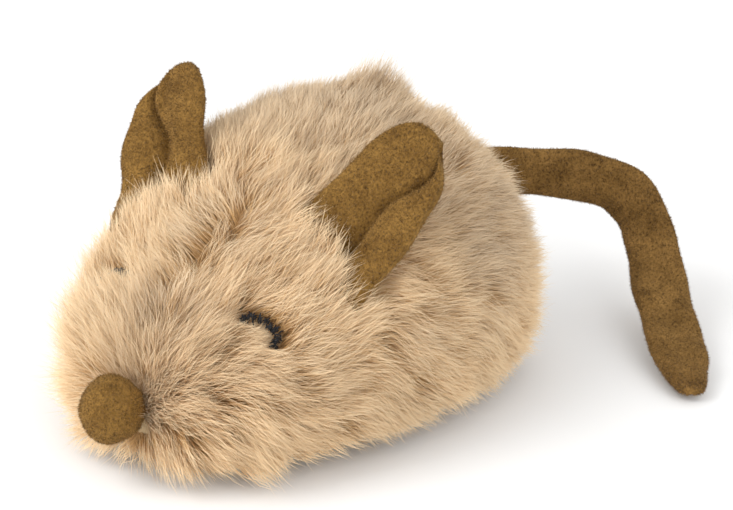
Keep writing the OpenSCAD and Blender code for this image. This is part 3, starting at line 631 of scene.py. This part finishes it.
def pile_paths(settings):
    """Points, blade directions and tones of every strand of the pile.

    A strand starts at its root steeply and lies down towards its tip: its place is the
    sum over its length of a direction that turns evenly from the first to the last. Its
    tip is drawn to its tuft's middle and, above the low flanks, a little towards its
    lock's. It bows sideways, and it is cut short over the eyes."""
    rng = np.random.default_rng(11)
    tuft, tuft_s, tuft_a, s, a = pile_roots(settings, rng)
    root, _, _, normal, _ = body_frame(s, a, settings.pile_depth, BACKING_POWER)
    middle, along, _, outward, _ = body_frame(tuft_s, tuft_a, settings.pile_depth, BACKING_POWER)
    tufts, strands = len(middle), len(root)
    lay = comb(middle, along, outward)[tuft]
    # Lay: tufts in one lock share a stray direction
    locks = rng.choice(tufts, tufts // 12, replace=False)
    lock = ((middle[:, None] - middle[locks][None]) ** 2).sum(-1).argmin(1)
    to_lock = (middle[locks][lock] - middle)[tuft]
    lay = unit(lay + 0.14 * rng.normal(size=(len(locks), 3))[lock][tuft]
               + 0.10 * rng.normal(size=(tufts, 3))[tuft] + 0.09 * rng.normal(size=root.shape))
    lay = unit(lay - (lay * normal).sum(-1, keepdims=True) * normal)
    # Length: shorter on the back, under the belly, low on the flanks and at the nose,
    # longer on the cheeks and in the standing tuft
    y, z = root[:, 1], root[:, 2]
    from_nose = np.linalg.norm(root - NOSE, axis=-1)
    back = smooth_step(y, -30 * MM, 2 * MM) * smooth_step(normal[:, 2], -0.5, 0.5)
    under = smooth_step(-normal[:, 2], 0.35, 0.8)
    full = settings.strand_length * (1 - back) + settings.back_length * back
    full = full * (1 + 0.12 * rng.normal(size=tufts)[tuft]) * rng.uniform(0.72, 1.1, strands)
    low_flank = (1 - smooth_step(z, 5 * MM, 17 * MM)) * (1 - under)
    full = full * (1 - 0.55 * under) * (1 - 0.28 * low_flank)
    full = full * (0.62 + 0.38 * smooth_step(from_nose, NOSE_RADIUS, NOSE_RADIUS + 6 * MM))
    snout = np.exp(-(from_nose / (10 * MM)) ** 2)
    cheek = 1 - smooth_step(y, -56 * MM, -40 * MM)
    full = full * (1 + 0.16 * cheek * (1 - under))
    crown = np.exp(-(np.linalg.norm(root - CROWN, axis=-1) / (4.5 * MM)) ** 2)
    full = full * (1 + 0.6 * crown)
    # Lean: angles over the skin at the root and at the tip, in degrees
    first = np.radians(rng.normal(62, 7, strands) - 32 * under)
    last = np.radians(rng.normal(14, 9, strands) + 16 * back + 6 * rng.normal(size=tufts)[tuft]
                      - 8 * under + 34 * snout + 9 * cheek * (1 - under) + 38 * crown)
    start = lay * np.cos(first)[:, None] + normal * np.sin(first)[:, None]
    end = lay * np.cos(last)[:, None] + normal * np.sin(last)[:, None]
    end = unit(end + np.array([0, 0, -0.22]) * (1 - back)[:, None])
    t = STRAND_STEPS
    curl = np.cross(lay, normal) * (rng.normal(0, 0.065, strands) * full)[:, None]
    drawn = ((root - middle[tuft]) * rng.uniform(0.1, 0.6, tufts)[tuft][:, None]
             - (0.13 * smooth_step(z, 8 * MM, 20 * MM))[:, None] * to_lock)

    def path(size):
        step = (start[:, None] * (t - t ** 2 / 2)[None, :, None]
                + end[:, None] * (t ** 2 / 2)[None, :, None])
        return (root[:, None] + step * size[:, None, None]
                + curl[:, None] * np.sin(math.pi * 1.2 * t)[None, :, None]
                - drawn[:, None] * (t ** 1.5)[None, :, None])

    line = path(full)
    over_eye = eye_cover(line)
    full = full * over_eye
    curl, drawn = curl * over_eye[:, None], drawn * over_eye[:, None]
    line = clear_of_parts(path(full), root)
    roll = rng.normal(0, 0.9, strands)[:, None]
    flat = np.cross(lay, normal) * np.cos(roll) + normal * np.sin(roll)
    # Tone: darker on the top of the back; darker along the parting, as painted shade in its groove;
    # lighter low on the head, as painted light from in front and below; and lighter at the ears' roots
    high = smooth_step(z, 14 * MM, 34 * MM)
    # painted shade: tips along the parting on the face are darkened, as if shade fell in its groove
    parting = (1 - smooth_step(y, -34 * MM, -20 * MM)) * np.exp(-(root[:, 0] / (4 * MM)) ** 2)
    tone = (0.28 + 0.36 * back * high + 0.06 * ripple(root, 14 * MM, 6)[:, 0] + 0.2 * parting
            + 0.06 * rng.normal(size=tufts)[tuft] + 0.09 * rng.normal(size=strands))
    # painted light: strands low on the head get lighter tips, standing in for the light that the chin
    # gets from in front and below
    tone = tone - 0.22 * low_flank * (1 - smooth_step(y, -45 * MM, -30 * MM))
    over, inside = ear_side(root)
    tone = tone - 0.2 * np.exp(-(over / (5 * MM)) ** 2) * inside
    # Kept: strands clear of the belly opening, the ears, the nose and the shaft's hole
    from_axis = np.hypot(y - KNOB_AXIS[1], z - KNOB_AXIS[2])
    keep = ~in_opening(root, 1.6 * MM)
    keep &= ~(inside & (np.abs(over) < EAR_THICKNESS / 2))
    keep &= from_nose > NOSE_RADIUS - 0.5 * MM
    keep &= ~((root[:, 0] < 0) & (from_axis < 3.6 * MM))
    return line[keep], flat[keep], np.clip(tone, 0.02, 0.98)[keep]


def eye_cover(line):
    """Share of each strand's length that may stay, so that the left eye shows: the strand
    is cut where it first comes within a cone that widens above the arch of the eye. The
    right eye lies deeper in the pile, so its cone is narrower."""
    arch, _, _, out, _ = eye_route(9, 2.2 * MM)
    share = np.ones(len(line))
    mirrored = line * np.where(line[:, :1, :1] < 0, MIRROR, 1)
    close = np.flatnonzero(np.linalg.norm(mirrored[:, 0] - arch[4], axis=-1) < 17 * MM)
    path = mirrored[close]
    right = line[close, :1, 0] < 0
    narrow = np.where(right, 0.9 * MM, 1.15 * MM)
    spread = np.where(right, 0.08, 0.35)
    fine = np.linspace(0, 1, 13)
    along = np.interp(fine, STRAND_STEPS, np.arange(4))
    low = np.minimum(along.astype(int), 2)
    part = (along - low)[None, :, None]
    points = path[:, low] * (1 - part) + path[:, low + 1] * part
    for spot, up in zip(arch[1:-1], out[1:-1]):
        gap = points - spot
        height = gap @ up
        beside = np.linalg.norm(gap - height[..., None] * up, axis=-1)
        hit = (beside < narrow + spread * np.maximum(height, 0)) & (height > -0.4 * MM)
        cut = np.where(hit.any(1), fine[hit.argmax(1)], 1.0)
        share[close] = np.minimum(share[close], np.maximum(cut, 0.12))
    return share


def blades(name, line, flat, tone, width, material):
    """Flat tapered blades along rows of four points, each of five triangles."""
    count = len(line)
    half = flat[:, None] * (np.array([0.5, 0.5, 0.38])[None, :, None] * width)
    left, right = line[:, :3] - half, line[:, :3] + half
    verts = np.concatenate([np.stack([left, right], 2).reshape(count, 6, 3), line[:, 3:]], 1)
    faces = np.array([[0, 1, 3], [0, 3, 2], [2, 3, 5], [2, 5, 4], [4, 5, 6]])
    faces = (faces[None] + 7 * np.arange(count)[:, None, None]).reshape(-1, 3)
    across = tone[:, None] + np.array([-4, 4, -4, 4, -4, 4, 0]) * 1e-3
    up = np.broadcast_to(np.repeat(STRAND_STEPS, 2)[:7], (count, 7))
    uv = np.stack([across, up], -1).reshape(-1, 2)
    return mesh_piece(name, verts.reshape(-1, 3), faces, material, uv=uv)


def backing_grid(depth, margin, rows=72, over=64, below=20):
    """Grid of the backing, and its faces without those of the belly opening. Each row's
    angles are shared between the part over the opening's edges and the part below, and
    below angles are left out of the rows that the opening crosses."""
    front = (PANEL_FRONT - margin - SNOUT_Y - depth) / (LENGTH - 2 * depth)
    rear = (PANEL_REAR + margin - SNOUT_Y - depth) / (LENGTH - 2 * depth)
    ends = 0.5 - 0.5 * np.cos(np.linspace(0, math.pi, rows))
    s = 0.002 + 0.996 * ends
    first, last = np.abs(s - front).argmin(), np.abs(s - rear).argmin()
    s[first], s[last] = front, rear
    held = np.clip(s, front, rear)
    y = SNOUT_Y + depth + held * (LENGTH - 2 * depth)
    edge = (panel_half(y) + margin) / ((HALF_WIDTH - depth) * plan(held))
    corner = np.arccos(np.clip(edge, 0, 1) ** (BACKING_POWER / 2))
    t = np.linspace(0, 1, over)
    upper = -corner[:, None] + t[None] * (math.pi + 2 * corner[:, None])
    t = np.linspace(0, 1, below + 2)[1:-1]
    lower = math.pi + corner[:, None] + t[None] * (math.pi - 2 * corner[:, None])
    a = np.concatenate([upper, lower], 1)
    points = body_points(s[:, None], a, depth, BACKING_POWER)
    faces = grid_faces(rows, over + below, True).reshape(rows - 1, over + below, 4)
    open_faces = np.zeros(faces.shape[:2], bool)
    open_faces[first:last, over - 1:] = True
    faces = faces[~open_faces]
    rim = np.concatenate([points[first:last + 1, 0], points[last, over:][::-1],
                          points[first:last + 1, over - 1][::-1], points[first, over:]])
    return points, faces, rim


def solidify(obj, thickness, offset=-1.0):
    """Gives a sheet its thickness, inwards, with its rims closed."""
    modifier = obj.modifiers.new("Thickness", "SOLIDIFY")
    modifier.thickness, modifier.offset = thickness, offset
    return obj


class MOUSE_OT_fur_backing(bpy.types.Operator):
    """Sews the fur's knitted backing round the housing, open at the belly"""
    bl_idname = "mouse.fur_backing"
    bl_label = "Fur Backing"

    def execute(self, context):
        pile = context.scene.mouse_pile
        points, faces, _ = backing_grid(pile.pile_depth, 0.6 * MM)
        rows, columns = points.shape[:2]
        caps = np.stack([points[0].mean(0), points[-1].mean(0)])
        verts = np.concatenate([points.reshape(-1, 3), caps])
        ring = np.arange(columns)
        after = (ring + 1) % columns
        start = np.stack([np.full(columns, rows * columns), after, ring, ring], -1)
        end = np.stack([np.full(columns, rows * columns + 1), (rows - 1) * columns + ring,
                        (rows - 1) * columns + after, (rows - 1) * columns + after], -1)
        middle = verts[faces].mean(1)
        hole = (middle[:, 0] < 0) & (np.hypot(middle[:, 1] - KNOB_AXIS[1],
                                              middle[:, 2] - KNOB_AXIS[2]) < 3.8 * MM)
        tris = np.concatenate([start[:, :3], end[:, :3]])
        quads = faces[~hole]
        both = np.concatenate([quads[:, [0, 1, 2]], quads[:, [0, 2, 3]], tris])
        obj = mesh_piece("fur_backing", verts, both, backing_finish(pile))
        solidify(obj, 0.9 * MM)
        place(obj, "root", "fur", "fur_skin")
        return {"FINISHED"}


class MOUSE_OT_fur_pile(bpy.types.Operator):
    """Tufts the whole body with soft pile, combed from the nose to the rump"""
    bl_idname = "mouse.fur_pile"
    bl_label = "Fur Pile"

    def execute(self, context):
        pile = context.scene.mouse_pile
        line, flat, tone = pile_paths(pile)
        if not len(line):
            raise RuntimeError("the pile has no strands")
        material = fur_finish(pile)
        order = np.argsort(line[:, 0, 1], kind="stable")
        names = ["face", "brow", "cheeks", "neck", "shoulders", "back", "haunches", "rump"]
        for name, part in zip(names, np.array_split(order, len(names))):
            obj = blades(f"fur_pile_{name}", line[part], flat[part], tone[part],
                         pile.strand_width, material)
            place(obj, "root", "fur", "fur_skin")
        return {"FINISHED"}


class MOUSE_OT_belly_hem(bpy.types.Operator):
    """Turns and stitches the hem round the belly opening"""
    bl_idname = "mouse.belly_hem"
    bl_label = "Belly Hem"

    def execute(self, context):
        pile = context.scene.mouse_pile
        rim = backing_grid(pile.pile_depth, 1.3 * MM)[2]
        steps = np.linalg.norm(np.roll(rim, -1, 0) - rim, axis=1)
        at = np.concatenate([[0], np.cumsum(steps)])
        closed = np.vstack([rim, rim[:1]])

        def along(places):
            return np.stack([np.interp(places % at[-1], at, closed[:, k]) for k in range(3)], -1)

        count = 260
        centre = along(np.arange(count) * at[-1] / count)
        centre = (centre + np.roll(centre, 1, 0) + np.roll(centre, -1, 0)) / 3
        ahead = unit(np.roll(centre, -1, 0) - np.roll(centre, 1, 0))
        outward = unit(np.cross(ahead, [0, 0, 1.0]))
        t = np.linspace(0, 2 * math.pi, 10, endpoint=False)
        wave = 1 + 0.12 * np.sin(np.arange(count) * 2.1)
        rings = (centre[:, None] + (0.75 * MM * wave)[:, None, None] * (
            np.cos(t)[None, :, None] * outward[:, None])
            + 0.5 * MM * np.sin(t)[None, :, None] * np.array([0, 0, 1.0]))
        faces = grid_faces(count + 1, 10, True) % (count * 10)
        binding = mesh_piece("belly_hem", rings.reshape(-1, 3), faces, backing_finish(pile))
        place(binding, "root", "fur", "fur_skin")
        spots = along((np.arange(90) + 0.5) * at[-1] / 90) + [0, 0, -0.55 * MM]
        way = unit(np.roll(spots, -1, 0) - np.roll(spots, 1, 0))
        place(stitches("hem_stitches", spots - 0.85 * MM * way, spots + 0.85 * MM * way,
                       np.tile([0, 0, -0.16 * MM], (90, 1)), 0.16 * MM,
                       thread_finish("hem_thread", (0.42, 0.30, 0.17))), "root", "fur")
        return {"FINISHED"}


# ---- suede trim ----------------------------------------------------------
def nap(name, points, normals, rng, size, material):
    """Short raised fibres: one narrow triangle each, leaning over the surface."""
    count = len(points)
    stray = rng.normal(size=(count, 3))
    tilt = unit(normals + 0.55 * stray)
    tip = points + tilt * (size * rng.uniform(0.4, 1.1, count))[:, None]
    side = unit(np.cross(tilt, rng.normal(size=(count, 3)))) * 0.055 * MM
    base = points - 0.05 * MM * normals
    verts = np.stack([base - side, base + side, tip], 1).reshape(-1, 3)
    return mesh_piece(name, verts, np.arange(3 * count).reshape(-1, 3), material)


def scatter(surface, count, rng, step=2e-3):
    """Random points of a surface over the unit square, and its unit normals there."""
    u, v = rng.uniform(step, 1 - step, (2, count))
    point = surface(u, v)
    du, dv = surface(u + step, v) - point, surface(u, v + step) - point
    return point, unit(np.cross(du, dv)), np.linalg.norm(np.cross(du, dv), axis=-1)


def even(surface, count, rng):
    """As many random points of a surface, spread evenly over its area."""
    point, normal, area = scatter(surface, 6 * count, rng)
    kept = rng.choice(len(point), count, replace=False, p=area / area.sum())
    return point[kept], normal[kept]


def ear_surface(crease, mirror):
    """An ear over the unit square: u goes round its section and v from root to tip.
    Its outline is a leaf, one less v to a power, and each half is crowned to either
    side of the fold down its middle."""
    def surface(u, v):
        t = 2 * math.pi * u
        share = 0.995 * np.sin(v * math.pi / 2)
        leaf = np.maximum(1 - share ** 7, 0) ** (1 / 2.4)
        half = EAR_HALF * (1.1 - 0.2 * share) * leaf
        across = signed_power(np.cos(t), 0.8)
        face = signed_power(np.sin(t), 0.55)
        thick = EAR_THICKNESS / 2 * (0.35 + 0.65 * np.sqrt(np.maximum(leaf, 0)))
        bend = 0.08 + 0.5 * smooth_step(share, 0.5, 1.0)
        fold = np.exp(-np.abs((across - bend) * half / (0.75 * MM)) ** 1.2)
        crown = 1.1 * MM * np.sqrt(np.clip(1 - ((across - bend) / (1.02 + np.abs(bend)) * 2
                                           - np.sign(across - bend)) ** 2, 0, 1)) * leaf
        lift = (-EAR_THICKNESS / 2 + face * thick + EAR_FOLD * half * np.abs(across) ** 0.8
                + np.where(face > 0, crown, 0) - crease * fold * leaf * np.where(face > 0, 1, 0.5))
        lobe = 1 - 0.07 * smooth_step(across, 0.0, 0.9)
        point = (EAR_ROOT + ((EAR_LENGTH * share * lobe - EAR_SUNK)[..., None]) * EAR_UP
                 + (half * across)[..., None] * EAR_ACROSS + lift[..., None] * EAR_NORMAL)
        point = point + 0.35 * MM * ripple(point, 9 * MM, 21) * leaf[..., None]
        return point * (MIRROR if mirror else 1)
    return surface


class MOUSE_OT_ears(bpy.types.Operator):
    """Cuts both suede ears, folded down their middles, with a raised nap"""
    bl_idname = "mouse.ears"
    bl_label = "Ears"

    def execute(self, context):
        trim = context.scene.mouse_trim
        material = suede_finish("ear_suede", trim.suede_dark, trim.suede_light)
        fibres = nap_finish("ear_nap_fibres", trim.suede_dark, trim.suede_light)
        for side, mirror in (("left", False), ("right", True)):
            surface = ear_surface(trim.crease, mirror)
            u, v = np.meshgrid(np.linspace(0, 1, 181)[:-1], np.linspace(0, 1, 80))
            obj, sign = closed_piece(f"ear_{side}_suede", surface(u, v), material)
            place(obj, "root", "suede", f"ear_{side}")
            rng = np.random.default_rng(31 + mirror)
            point, normal = even(surface, 24000, rng)
            place(nap(f"ear_{side}_nap", point, normal * sign, rng, trim.nap_length, fibres),
                  "root", "suede", f"ear_{side}")
        return {"FINISHED"}


def nose_surface(radius):
    """The nose over the unit square: a ball, slightly lumpy and gathered behind."""
    def surface(u, v):
        t, lean = 2 * math.pi * u, math.pi * v
        out = np.stack([np.sin(lean) * np.cos(t), -np.cos(lean), np.sin(lean) * np.sin(t)], -1)
        pleat = 0.25 * MM * np.cos(9 * t) * smooth_step(v, 0.55, 0.95)
        return (NOSE + out * (radius + pleat)[..., None] * [1, 1, 1.07]
                + 0.16 * MM * ripple(out * radius, 6 * MM, 41))
    return surface


class MOUSE_OT_nose(bpy.types.Operator):
    """Gathers the suede nose over its ball of stuffing"""
    bl_idname = "mouse.nose"
    bl_label = "Nose"

    def execute(self, context):
        trim = context.scene.mouse_trim
        material = suede_finish("nose_suede", trim.suede_dark, trim.suede_light, 1.15)
        u, v = np.meshgrid(np.linspace(0, 1, 65)[:-1], np.linspace(0, 1, 40))
        for name, radius, finish, slot, node in (
                ("nose_suede", NOSE_RADIUS - 0.1 * MM, material, "suede", "nose_cover"),
                ("nose_stuffing", NOSE_RADIUS - 0.95 * MM, fleece_finish(), "wadding", "nose_filling")):
            obj, _ = closed_piece(name, nose_surface(radius)(u, np.clip(v, 0.004, 0.996)), finish)
            place(obj, "root", slot, node)
        rng = np.random.default_rng(42)
        point, normal = even(nose_surface(NOSE_RADIUS - 0.1 * MM), 9000, rng)
        outward = np.where(((point - NOSE) * normal).sum(-1, keepdims=True) < 0, -1, 1)
        place(nap("nose_nap", point, normal * outward, rng, 0.9 * trim.nap_length,
                  nap_finish("nose_nap_fibres", trim.suede_dark, trim.suede_light)),
              "root", "suede", "nose_cover")
        return {"FINISHED"}


class MOUSE_OT_eyes(bpy.types.Operator):
    """Sews both eyes as arches of close black satin stitches"""
    bl_idname = "mouse.eyes"
    bl_label = "Eyes"

    def execute(self, context):
        thread = thread_finish("eye_thread", context.scene.mouse_trim.thread_colour)
        rng = np.random.default_rng(51)
        count = 90
        spot, _, _, out, _ = eye_route(count, 1.4 * MM)
        way = unit(np.gradient(spot, axis=0))
        for side, flip in (("left", 1), ("right", MIRROR)):
            across = unit(np.cross(out, way)) + 0.35 * rng.normal(size=(count, 3))
            across = unit(across - (across * out).sum(-1, keepdims=True) * out)
            half = 0.62 * MM * rng.uniform(0.7, 1.2, (count, 1))
            centre = spot + 0.32 * MM * rng.normal(size=(count, 3)) - 0.1 * MM * out
            obj = stitches(f"eye_{side}_stitches", (centre - half * across) * flip,
                           (centre + half * across) * flip, 0.42 * MM * out * flip, 0.15 * MM, thread)
            place(obj, "root", "thread", f"eye_{side}")
        return {"FINISHED"}


TAIL_ROUTE = [(0, 30, 24), (2, 38, 26), (6, 46, 27), (13, 52.5, 27), (21, 58.5, 26),
              (28, 62.5, 24), (33, 62.5, 20.5), (37, 60, 16.5), (41, 56, 12.5), (46, 50.5, 9),
              (52, 44, 6), (59, 36, 3.8), (64, 30, 2.8), (67, 26.5, 2.4)]
TAIL_WIDE = [(0, 0, 1), (0, 0, 1), (0, 0, 1), (0, 0, 1), (0.1, 0.1, 1), (0.4, 0.2, 1),
             (0.8, 0.4, 0.9), (1, 0.6, 0.6), (1, 0.7, 0.3), (1, 0.75, 0.1), (1, 0.8, 0),
             (1, 0.85, 0), (1, 0.85, 0), (1, 0.85, 0)]
TAIL_HALF, TAIL_THICK = 5.5 * MM, 1.8 * MM


def tail_rings(rows=150, sides=40):
    """Rings of the tail: flattened ovals along its curve, that dip in a little along
    the middle, waver in width, and draw together at the tip."""
    route = smooth_route(np.array(TAIL_ROUTE) * MM + [0, RUMP_Y - 35 * MM, 0], rows)
    wide = smooth_route(TAIL_WIDE, rows)
    t = np.linspace(0, 1, rows)
    drawn = (0.3 + 0.7 * smooth_step(1 - t, 0, 0.17)) * np.sqrt(np.clip((1 - t) / 0.02, 0, 1))
    half = TAIL_HALF * (0.75 + 0.25 * smooth_step(t, 0, 0.08)) * (0.2 + 0.8 * drawn)
    half = half * (1 + 0.035 * np.sin(19 * t) + 0.03 * np.sin(47 * t + 1))
    thick = TAIL_THICK * (0.45 + 0.55 * drawn) * np.ones(rows)
    ahead = unit(np.gradient(route, axis=0))
    wide = unit(wide - (wide * ahead).sum(-1, keepdims=True) * ahead)
    up = np.cross(ahead, wide)
    turn = 2 * math.pi * np.arange(sides) / sides
    across = signed_power(np.cos(turn), 0.85)
    height = signed_power(np.sin(turn), 0.75) * (1 - 0.22 * np.exp(-(across / 0.3) ** 2))
    rings = (route[:, None] + (half[:, None] * across)[..., None] * wide[:, None]
             + (thick[:, None] * height)[..., None] * up[:, None])
    rings = rings + 0.22 * MM * ripple(rings, 8 * MM, 61)
    rings[..., 2] = np.maximum(rings[..., 2], 0.25 * MM)
    return rings, route, wide


class MOUSE_OT_tail(bpy.types.Operator):
    """Cuts the flat suede tail, turned once and gathered at its tip"""
    bl_idname = "mouse.tail"
    bl_label = "Tail"

    def execute(self, context):
        trim = context.scene.mouse_trim
        material = suede_finish("tail_suede", trim.tail_dark, trim.tail_light)
        rings, route, wide = tail_rings()
        obj, _ = closed_piece("tail_suede", rings, material)
        place(obj, "root", "suede", "tail")
        rng = np.random.default_rng(62)
        rows, sides = rings.shape[:2]
        i, j = rng.integers(8, rows - 1, 26000), rng.integers(0, sides, 26000)
        f, g = rng.uniform(size=(2, 26000, 1))
        a, b = rings[i, j], rings[i, (j + 1) % sides]
        after = np.minimum(i + 1, rows - 1)
        c, d = rings[after, j], rings[after, (j + 1) % sides]
        point = (a * (1 - f) + b * f) * (1 - g) + (c * (1 - f) + d * f) * g
        normal = unit(point - route[i] * (1 - g) - route[after] * g)
        across = (normal * wide[i]).sum(-1, keepdims=True)
        normal = unit(normal - 0.9 * across * wide[i] * (np.abs(across) < 0.97))
        obj = nap("tail_nap", point, normal, rng, trim.nap_length,
                  nap_finish("tail_nap_fibres", trim.tail_dark, trim.tail_light))
        place(obj, "root", "suede", "tail")
        return {"FINISHED"}


class MOUSE_OT_wadding(bpy.types.Operator):
    """Lays the fleece of wadding between the fur and the housing"""
    bl_idname = "mouse.wadding"
    bl_label = "Wadding"

    def execute(self, context):
        low, high = (np.array(corner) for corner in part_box("wadding"))
        depth = HALF_WIDTH - high[0]
        s = 0.006 + 0.988 * (0.5 - 0.5 * np.cos(np.linspace(0, math.pi, 60)))
        flank = SNOUT_LINE + (FLANK_LINE - SNOUT_LINE) * np.sin(math.pi / 2 * np.minimum(1, 2 * s))
        floor = BELLY_Z + 0.24 * depth
        share = np.clip((flank - low[2]) / (flank - floor), 0, 1) ** (8 / 2)
        start = -np.arcsin(np.clip(share, 0, 1))
        t = np.linspace(0, 1, 72)
        a = start[:, None] + t[None] * (math.pi - 2 * start[:, None])
        points = body_points(s[:, None], a, depth + 0.3 * MM, 8.0)
        points[..., 2] = np.maximum(points[..., 2], low[2])
        inward = unit(points - [0, (SNOUT_Y + RUMP_Y) / 2, low[2]])
        points = points - inward * (0.35 * MM * np.abs(ripple(points, 7 * MM, 71)[..., :1]))
        faces = grid_faces(60, 72, False)
        middle = points.reshape(-1, 3)[faces].mean(1)
        hole = (middle[:, 0] < 0) & (np.hypot(middle[:, 1] - KNOB_AXIS[1],
                                              middle[:, 2] - KNOB_AXIS[2]) < 4.4 * MM)
        obj = mesh_piece("wadding_fleece", points.reshape(-1, 3), faces[~hole], fleece_finish())
        solidify(obj, 1.7 * MM)
        place(obj, "root", "wadding", "wadding")
        return {"FINISHED"}


# ---- carried-over parts --------------------------------------------------
def dress(material, *nodes):
    """Gives nodes of the frame a finish."""
    for name in nodes:
        for material_slot in frame["nodes"][name].material_slots:
            material_slot.material = material


class MOUSE_OT_shell(bpy.types.Operator):
    """Finishes the moulded housing, base plate and winding knob"""
    bl_idname = "mouse.shell"
    bl_label = "Housing and Knob"

    def execute(self, context):
        movement = context.scene.mouse_movement
        dress(plastic_finish("housing_plastic", movement.shell_colour, 0.5, 0.03 * MM),
              "housing", "base_plate")
        dress(plastic_finish("knob_plastic", movement.knob_colour, 0.34, 0.015 * MM, 0.05),
              "winding_knob")
        dress(plastic_finish("hub_plastic", movement.knob_colour, 0.4, 0.02 * MM, 0.08),
              "wheel_hub_left", "wheel_hub_right", "caster_wheel", "caster_fork")
        return {"FINISHED"}


class MOUSE_OT_movement(bpy.types.Operator):
    """Finishes the brass, steel and blued parts of the movement"""
    bl_idname = "mouse.movement"
    bl_label = "Movement"

    def execute(self, context):
        movement = context.scene.mouse_movement
        dress(metal_finish("rolled_brass", movement.brass_colour, (0.42, 0.27, 0.10), 0.32),
              "great_wheel", "second_wheel", "governor_flywheel", "frame_plate_left",
              "frame_plate_right", "frame_pillars", "winding_eyelet", "axle_pinion",
              "second_pinion", "governor_pinion")
        dress(metal_finish("bright_steel", movement.steel_colour, (0.30, 0.29, 0.28), 0.3),
              "winding_arbor", "ratchet_wheel", "arbor_clip", "click", "drive_axle",
              "axle_collars", "second_arbor", "governor_arbor", "housing_screws",
              "frame_screws", "caster_axle", "caster_washer", "caster_clip")
        dress(metal_finish("blued_spring_steel", movement.spring_colour, (0.20, 0.14, 0.10), 0.28),
              "mainspring", "click_spring")
        return {"FINISHED"}


class MOUSE_OT_tyres(bpy.types.Operator):
    """Finishes the rubber tyres of the drive wheels"""
    bl_idname = "mouse.tyres"
    bl_label = "Tyres"

    def execute(self, context):
        dress(rubber_finish("tyre_rubber", context.scene.mouse_movement.tyre_colour),
              "tyre_left", "tyre_right")
        return {"FINISHED"}


# ---- stage ---------------------------------------------------------------
def aim(obj, position, target):
    """Puts a light or the camera at a position, turned to a target."""
    obj.location = position
    obj.rotation_euler = (Vector(target) - Vector(position)).to_track_quat("-Z", "Y").to_euler()


def soft_light(name, power, size, position, target):
    """A square area light, turned to a target."""
    light = bpy.data.lights.new(name, "AREA")
    light.energy, light.size = power, size
    obj = bpy.data.objects.new(name, light)
    bpy.context.scene.collection.objects.link(obj)
    aim(obj, position, target)


class MOUSE_OT_stage(bpy.types.Operator):
    """Sets the pale floor, the soft studio lights and the camera"""
    bl_idname = "mouse.stage"
    bl_label = "Stage"

    def execute(self, context):
        scene, stage = context.scene, context.scene.mouse_stage
        look = Look("studio_floor", Roughness=0.9, Specular_IOR_Level=0.1)
        tint = look.noise(2.0, 2.0)
        pale = tuple(stage.floor_colour)
        look.set("Base Color", look.mix(tint, pale, tuple(0.99 * c for c in pale)))
        size = 3.0
        floor = mesh_piece("studio_floor", [(-size, -size, 0), (size, -size, 0),
                                            (size, size, 0), (-size, size, 0)],
                           [[0, 1, 2, 3]], look.material, smooth=False)
        world = scene.world or bpy.data.worlds.new("studio")
        scene.world = world
        world.use_nodes = True
        background = world.node_tree.nodes["Background"]
        background.inputs["Color"].default_value = (1, 1, 1, 1)
        background.inputs["Strength"].default_value = 0.9
        middle = (SKIN_LOW + SKIN_HIGH) / 2
        target = middle + np.array([0, 7, -4]) * MM
        soft_light("key", stage.key_power, 0.45, target + np.array([-0.30, -0.42, 0.55]), target)
        soft_light("low", stage.low_power, 0.35, target + np.array([-0.16, -0.55, 0.06]), target)
        soft_light("fill", stage.fill_power, 0.5, target + np.array([0.55, -0.15, 0.35]), target)
        azimuth, elevation, distance = math.radians(38.1), math.radians(23.8), 0.430
        level = math.cos(elevation)
        back = np.array([math.sin(azimuth) * level, -math.cos(azimuth) * level,
                         math.sin(elevation)])
        camera = bpy.data.cameras.new("camera")
        camera.lens, camera.sensor_width = stage.lens, 36.0
        camera.shift_x, camera.shift_y = 0.0768, 0.001
        camera.clip_start, camera.clip_end = 0.01, 10.0
        obj = bpy.data.objects.new("camera", camera)
        scene.collection.objects.link(obj)
        aim(obj, target + back * distance, target)
        scene.camera = obj
        scene.view_settings.view_transform = "Standard"
        scene.view_settings.look = "None"
        return {"FINISHED"}


OPERATORS = (MOUSE_OT_fur_backing, MOUSE_OT_fur_pile, MOUSE_OT_belly_hem, MOUSE_OT_ears,
             MOUSE_OT_nose, MOUSE_OT_eyes, MOUSE_OT_tail, MOUSE_OT_wadding, MOUSE_OT_shell,
             MOUSE_OT_movement, MOUSE_OT_tyres, MOUSE_OT_stage)
SETTINGS = {"mouse_pile": MousePileSettings, "mouse_trim": MouseTrimSettings,
            "mouse_movement": MouseMovementSettings, "mouse_stage": MouseStageSettings}


class MOUSE_PT_panel(bpy.types.Panel):
    """Lists the mouse's pieces and their settings"""
    bl_idname = "MOUSE_PT_panel"
    bl_label = "Clockwork Mouse"
    bl_space_type = "VIEW_3D"
    bl_region_type = "UI"
    bl_category = "Clockwork Mouse"

    def draw(self, context):
        for operator in OPERATORS:
            self.layout.operator(operator.bl_idname)
        for name, group in SETTINGS.items():
            box = self.layout.box()
            for key in group.__annotations__:
                box.prop(getattr(context.scene, name), key)


CLASSES = (*SETTINGS.values(), *OPERATORS, MOUSE_PT_panel)


def register():
    for cls in CLASSES:
        bpy.utils.register_class(cls)
    for name, group in SETTINGS.items():
        setattr(bpy.types.Scene, name, PointerProperty(type=group))


def unregister():
    for name in SETTINGS:
        delattr(bpy.types.Scene, name)
    for cls in reversed(CLASSES):
        bpy.utils.unregister_class(cls)


def main():
    """Builds every piece in order."""
    register()
    for operator in OPERATORS:
        group, name = operator.bl_idname.split(".")
        getattr(getattr(bpy.ops, group), name)()


if __name__ == "__main__":
    main()
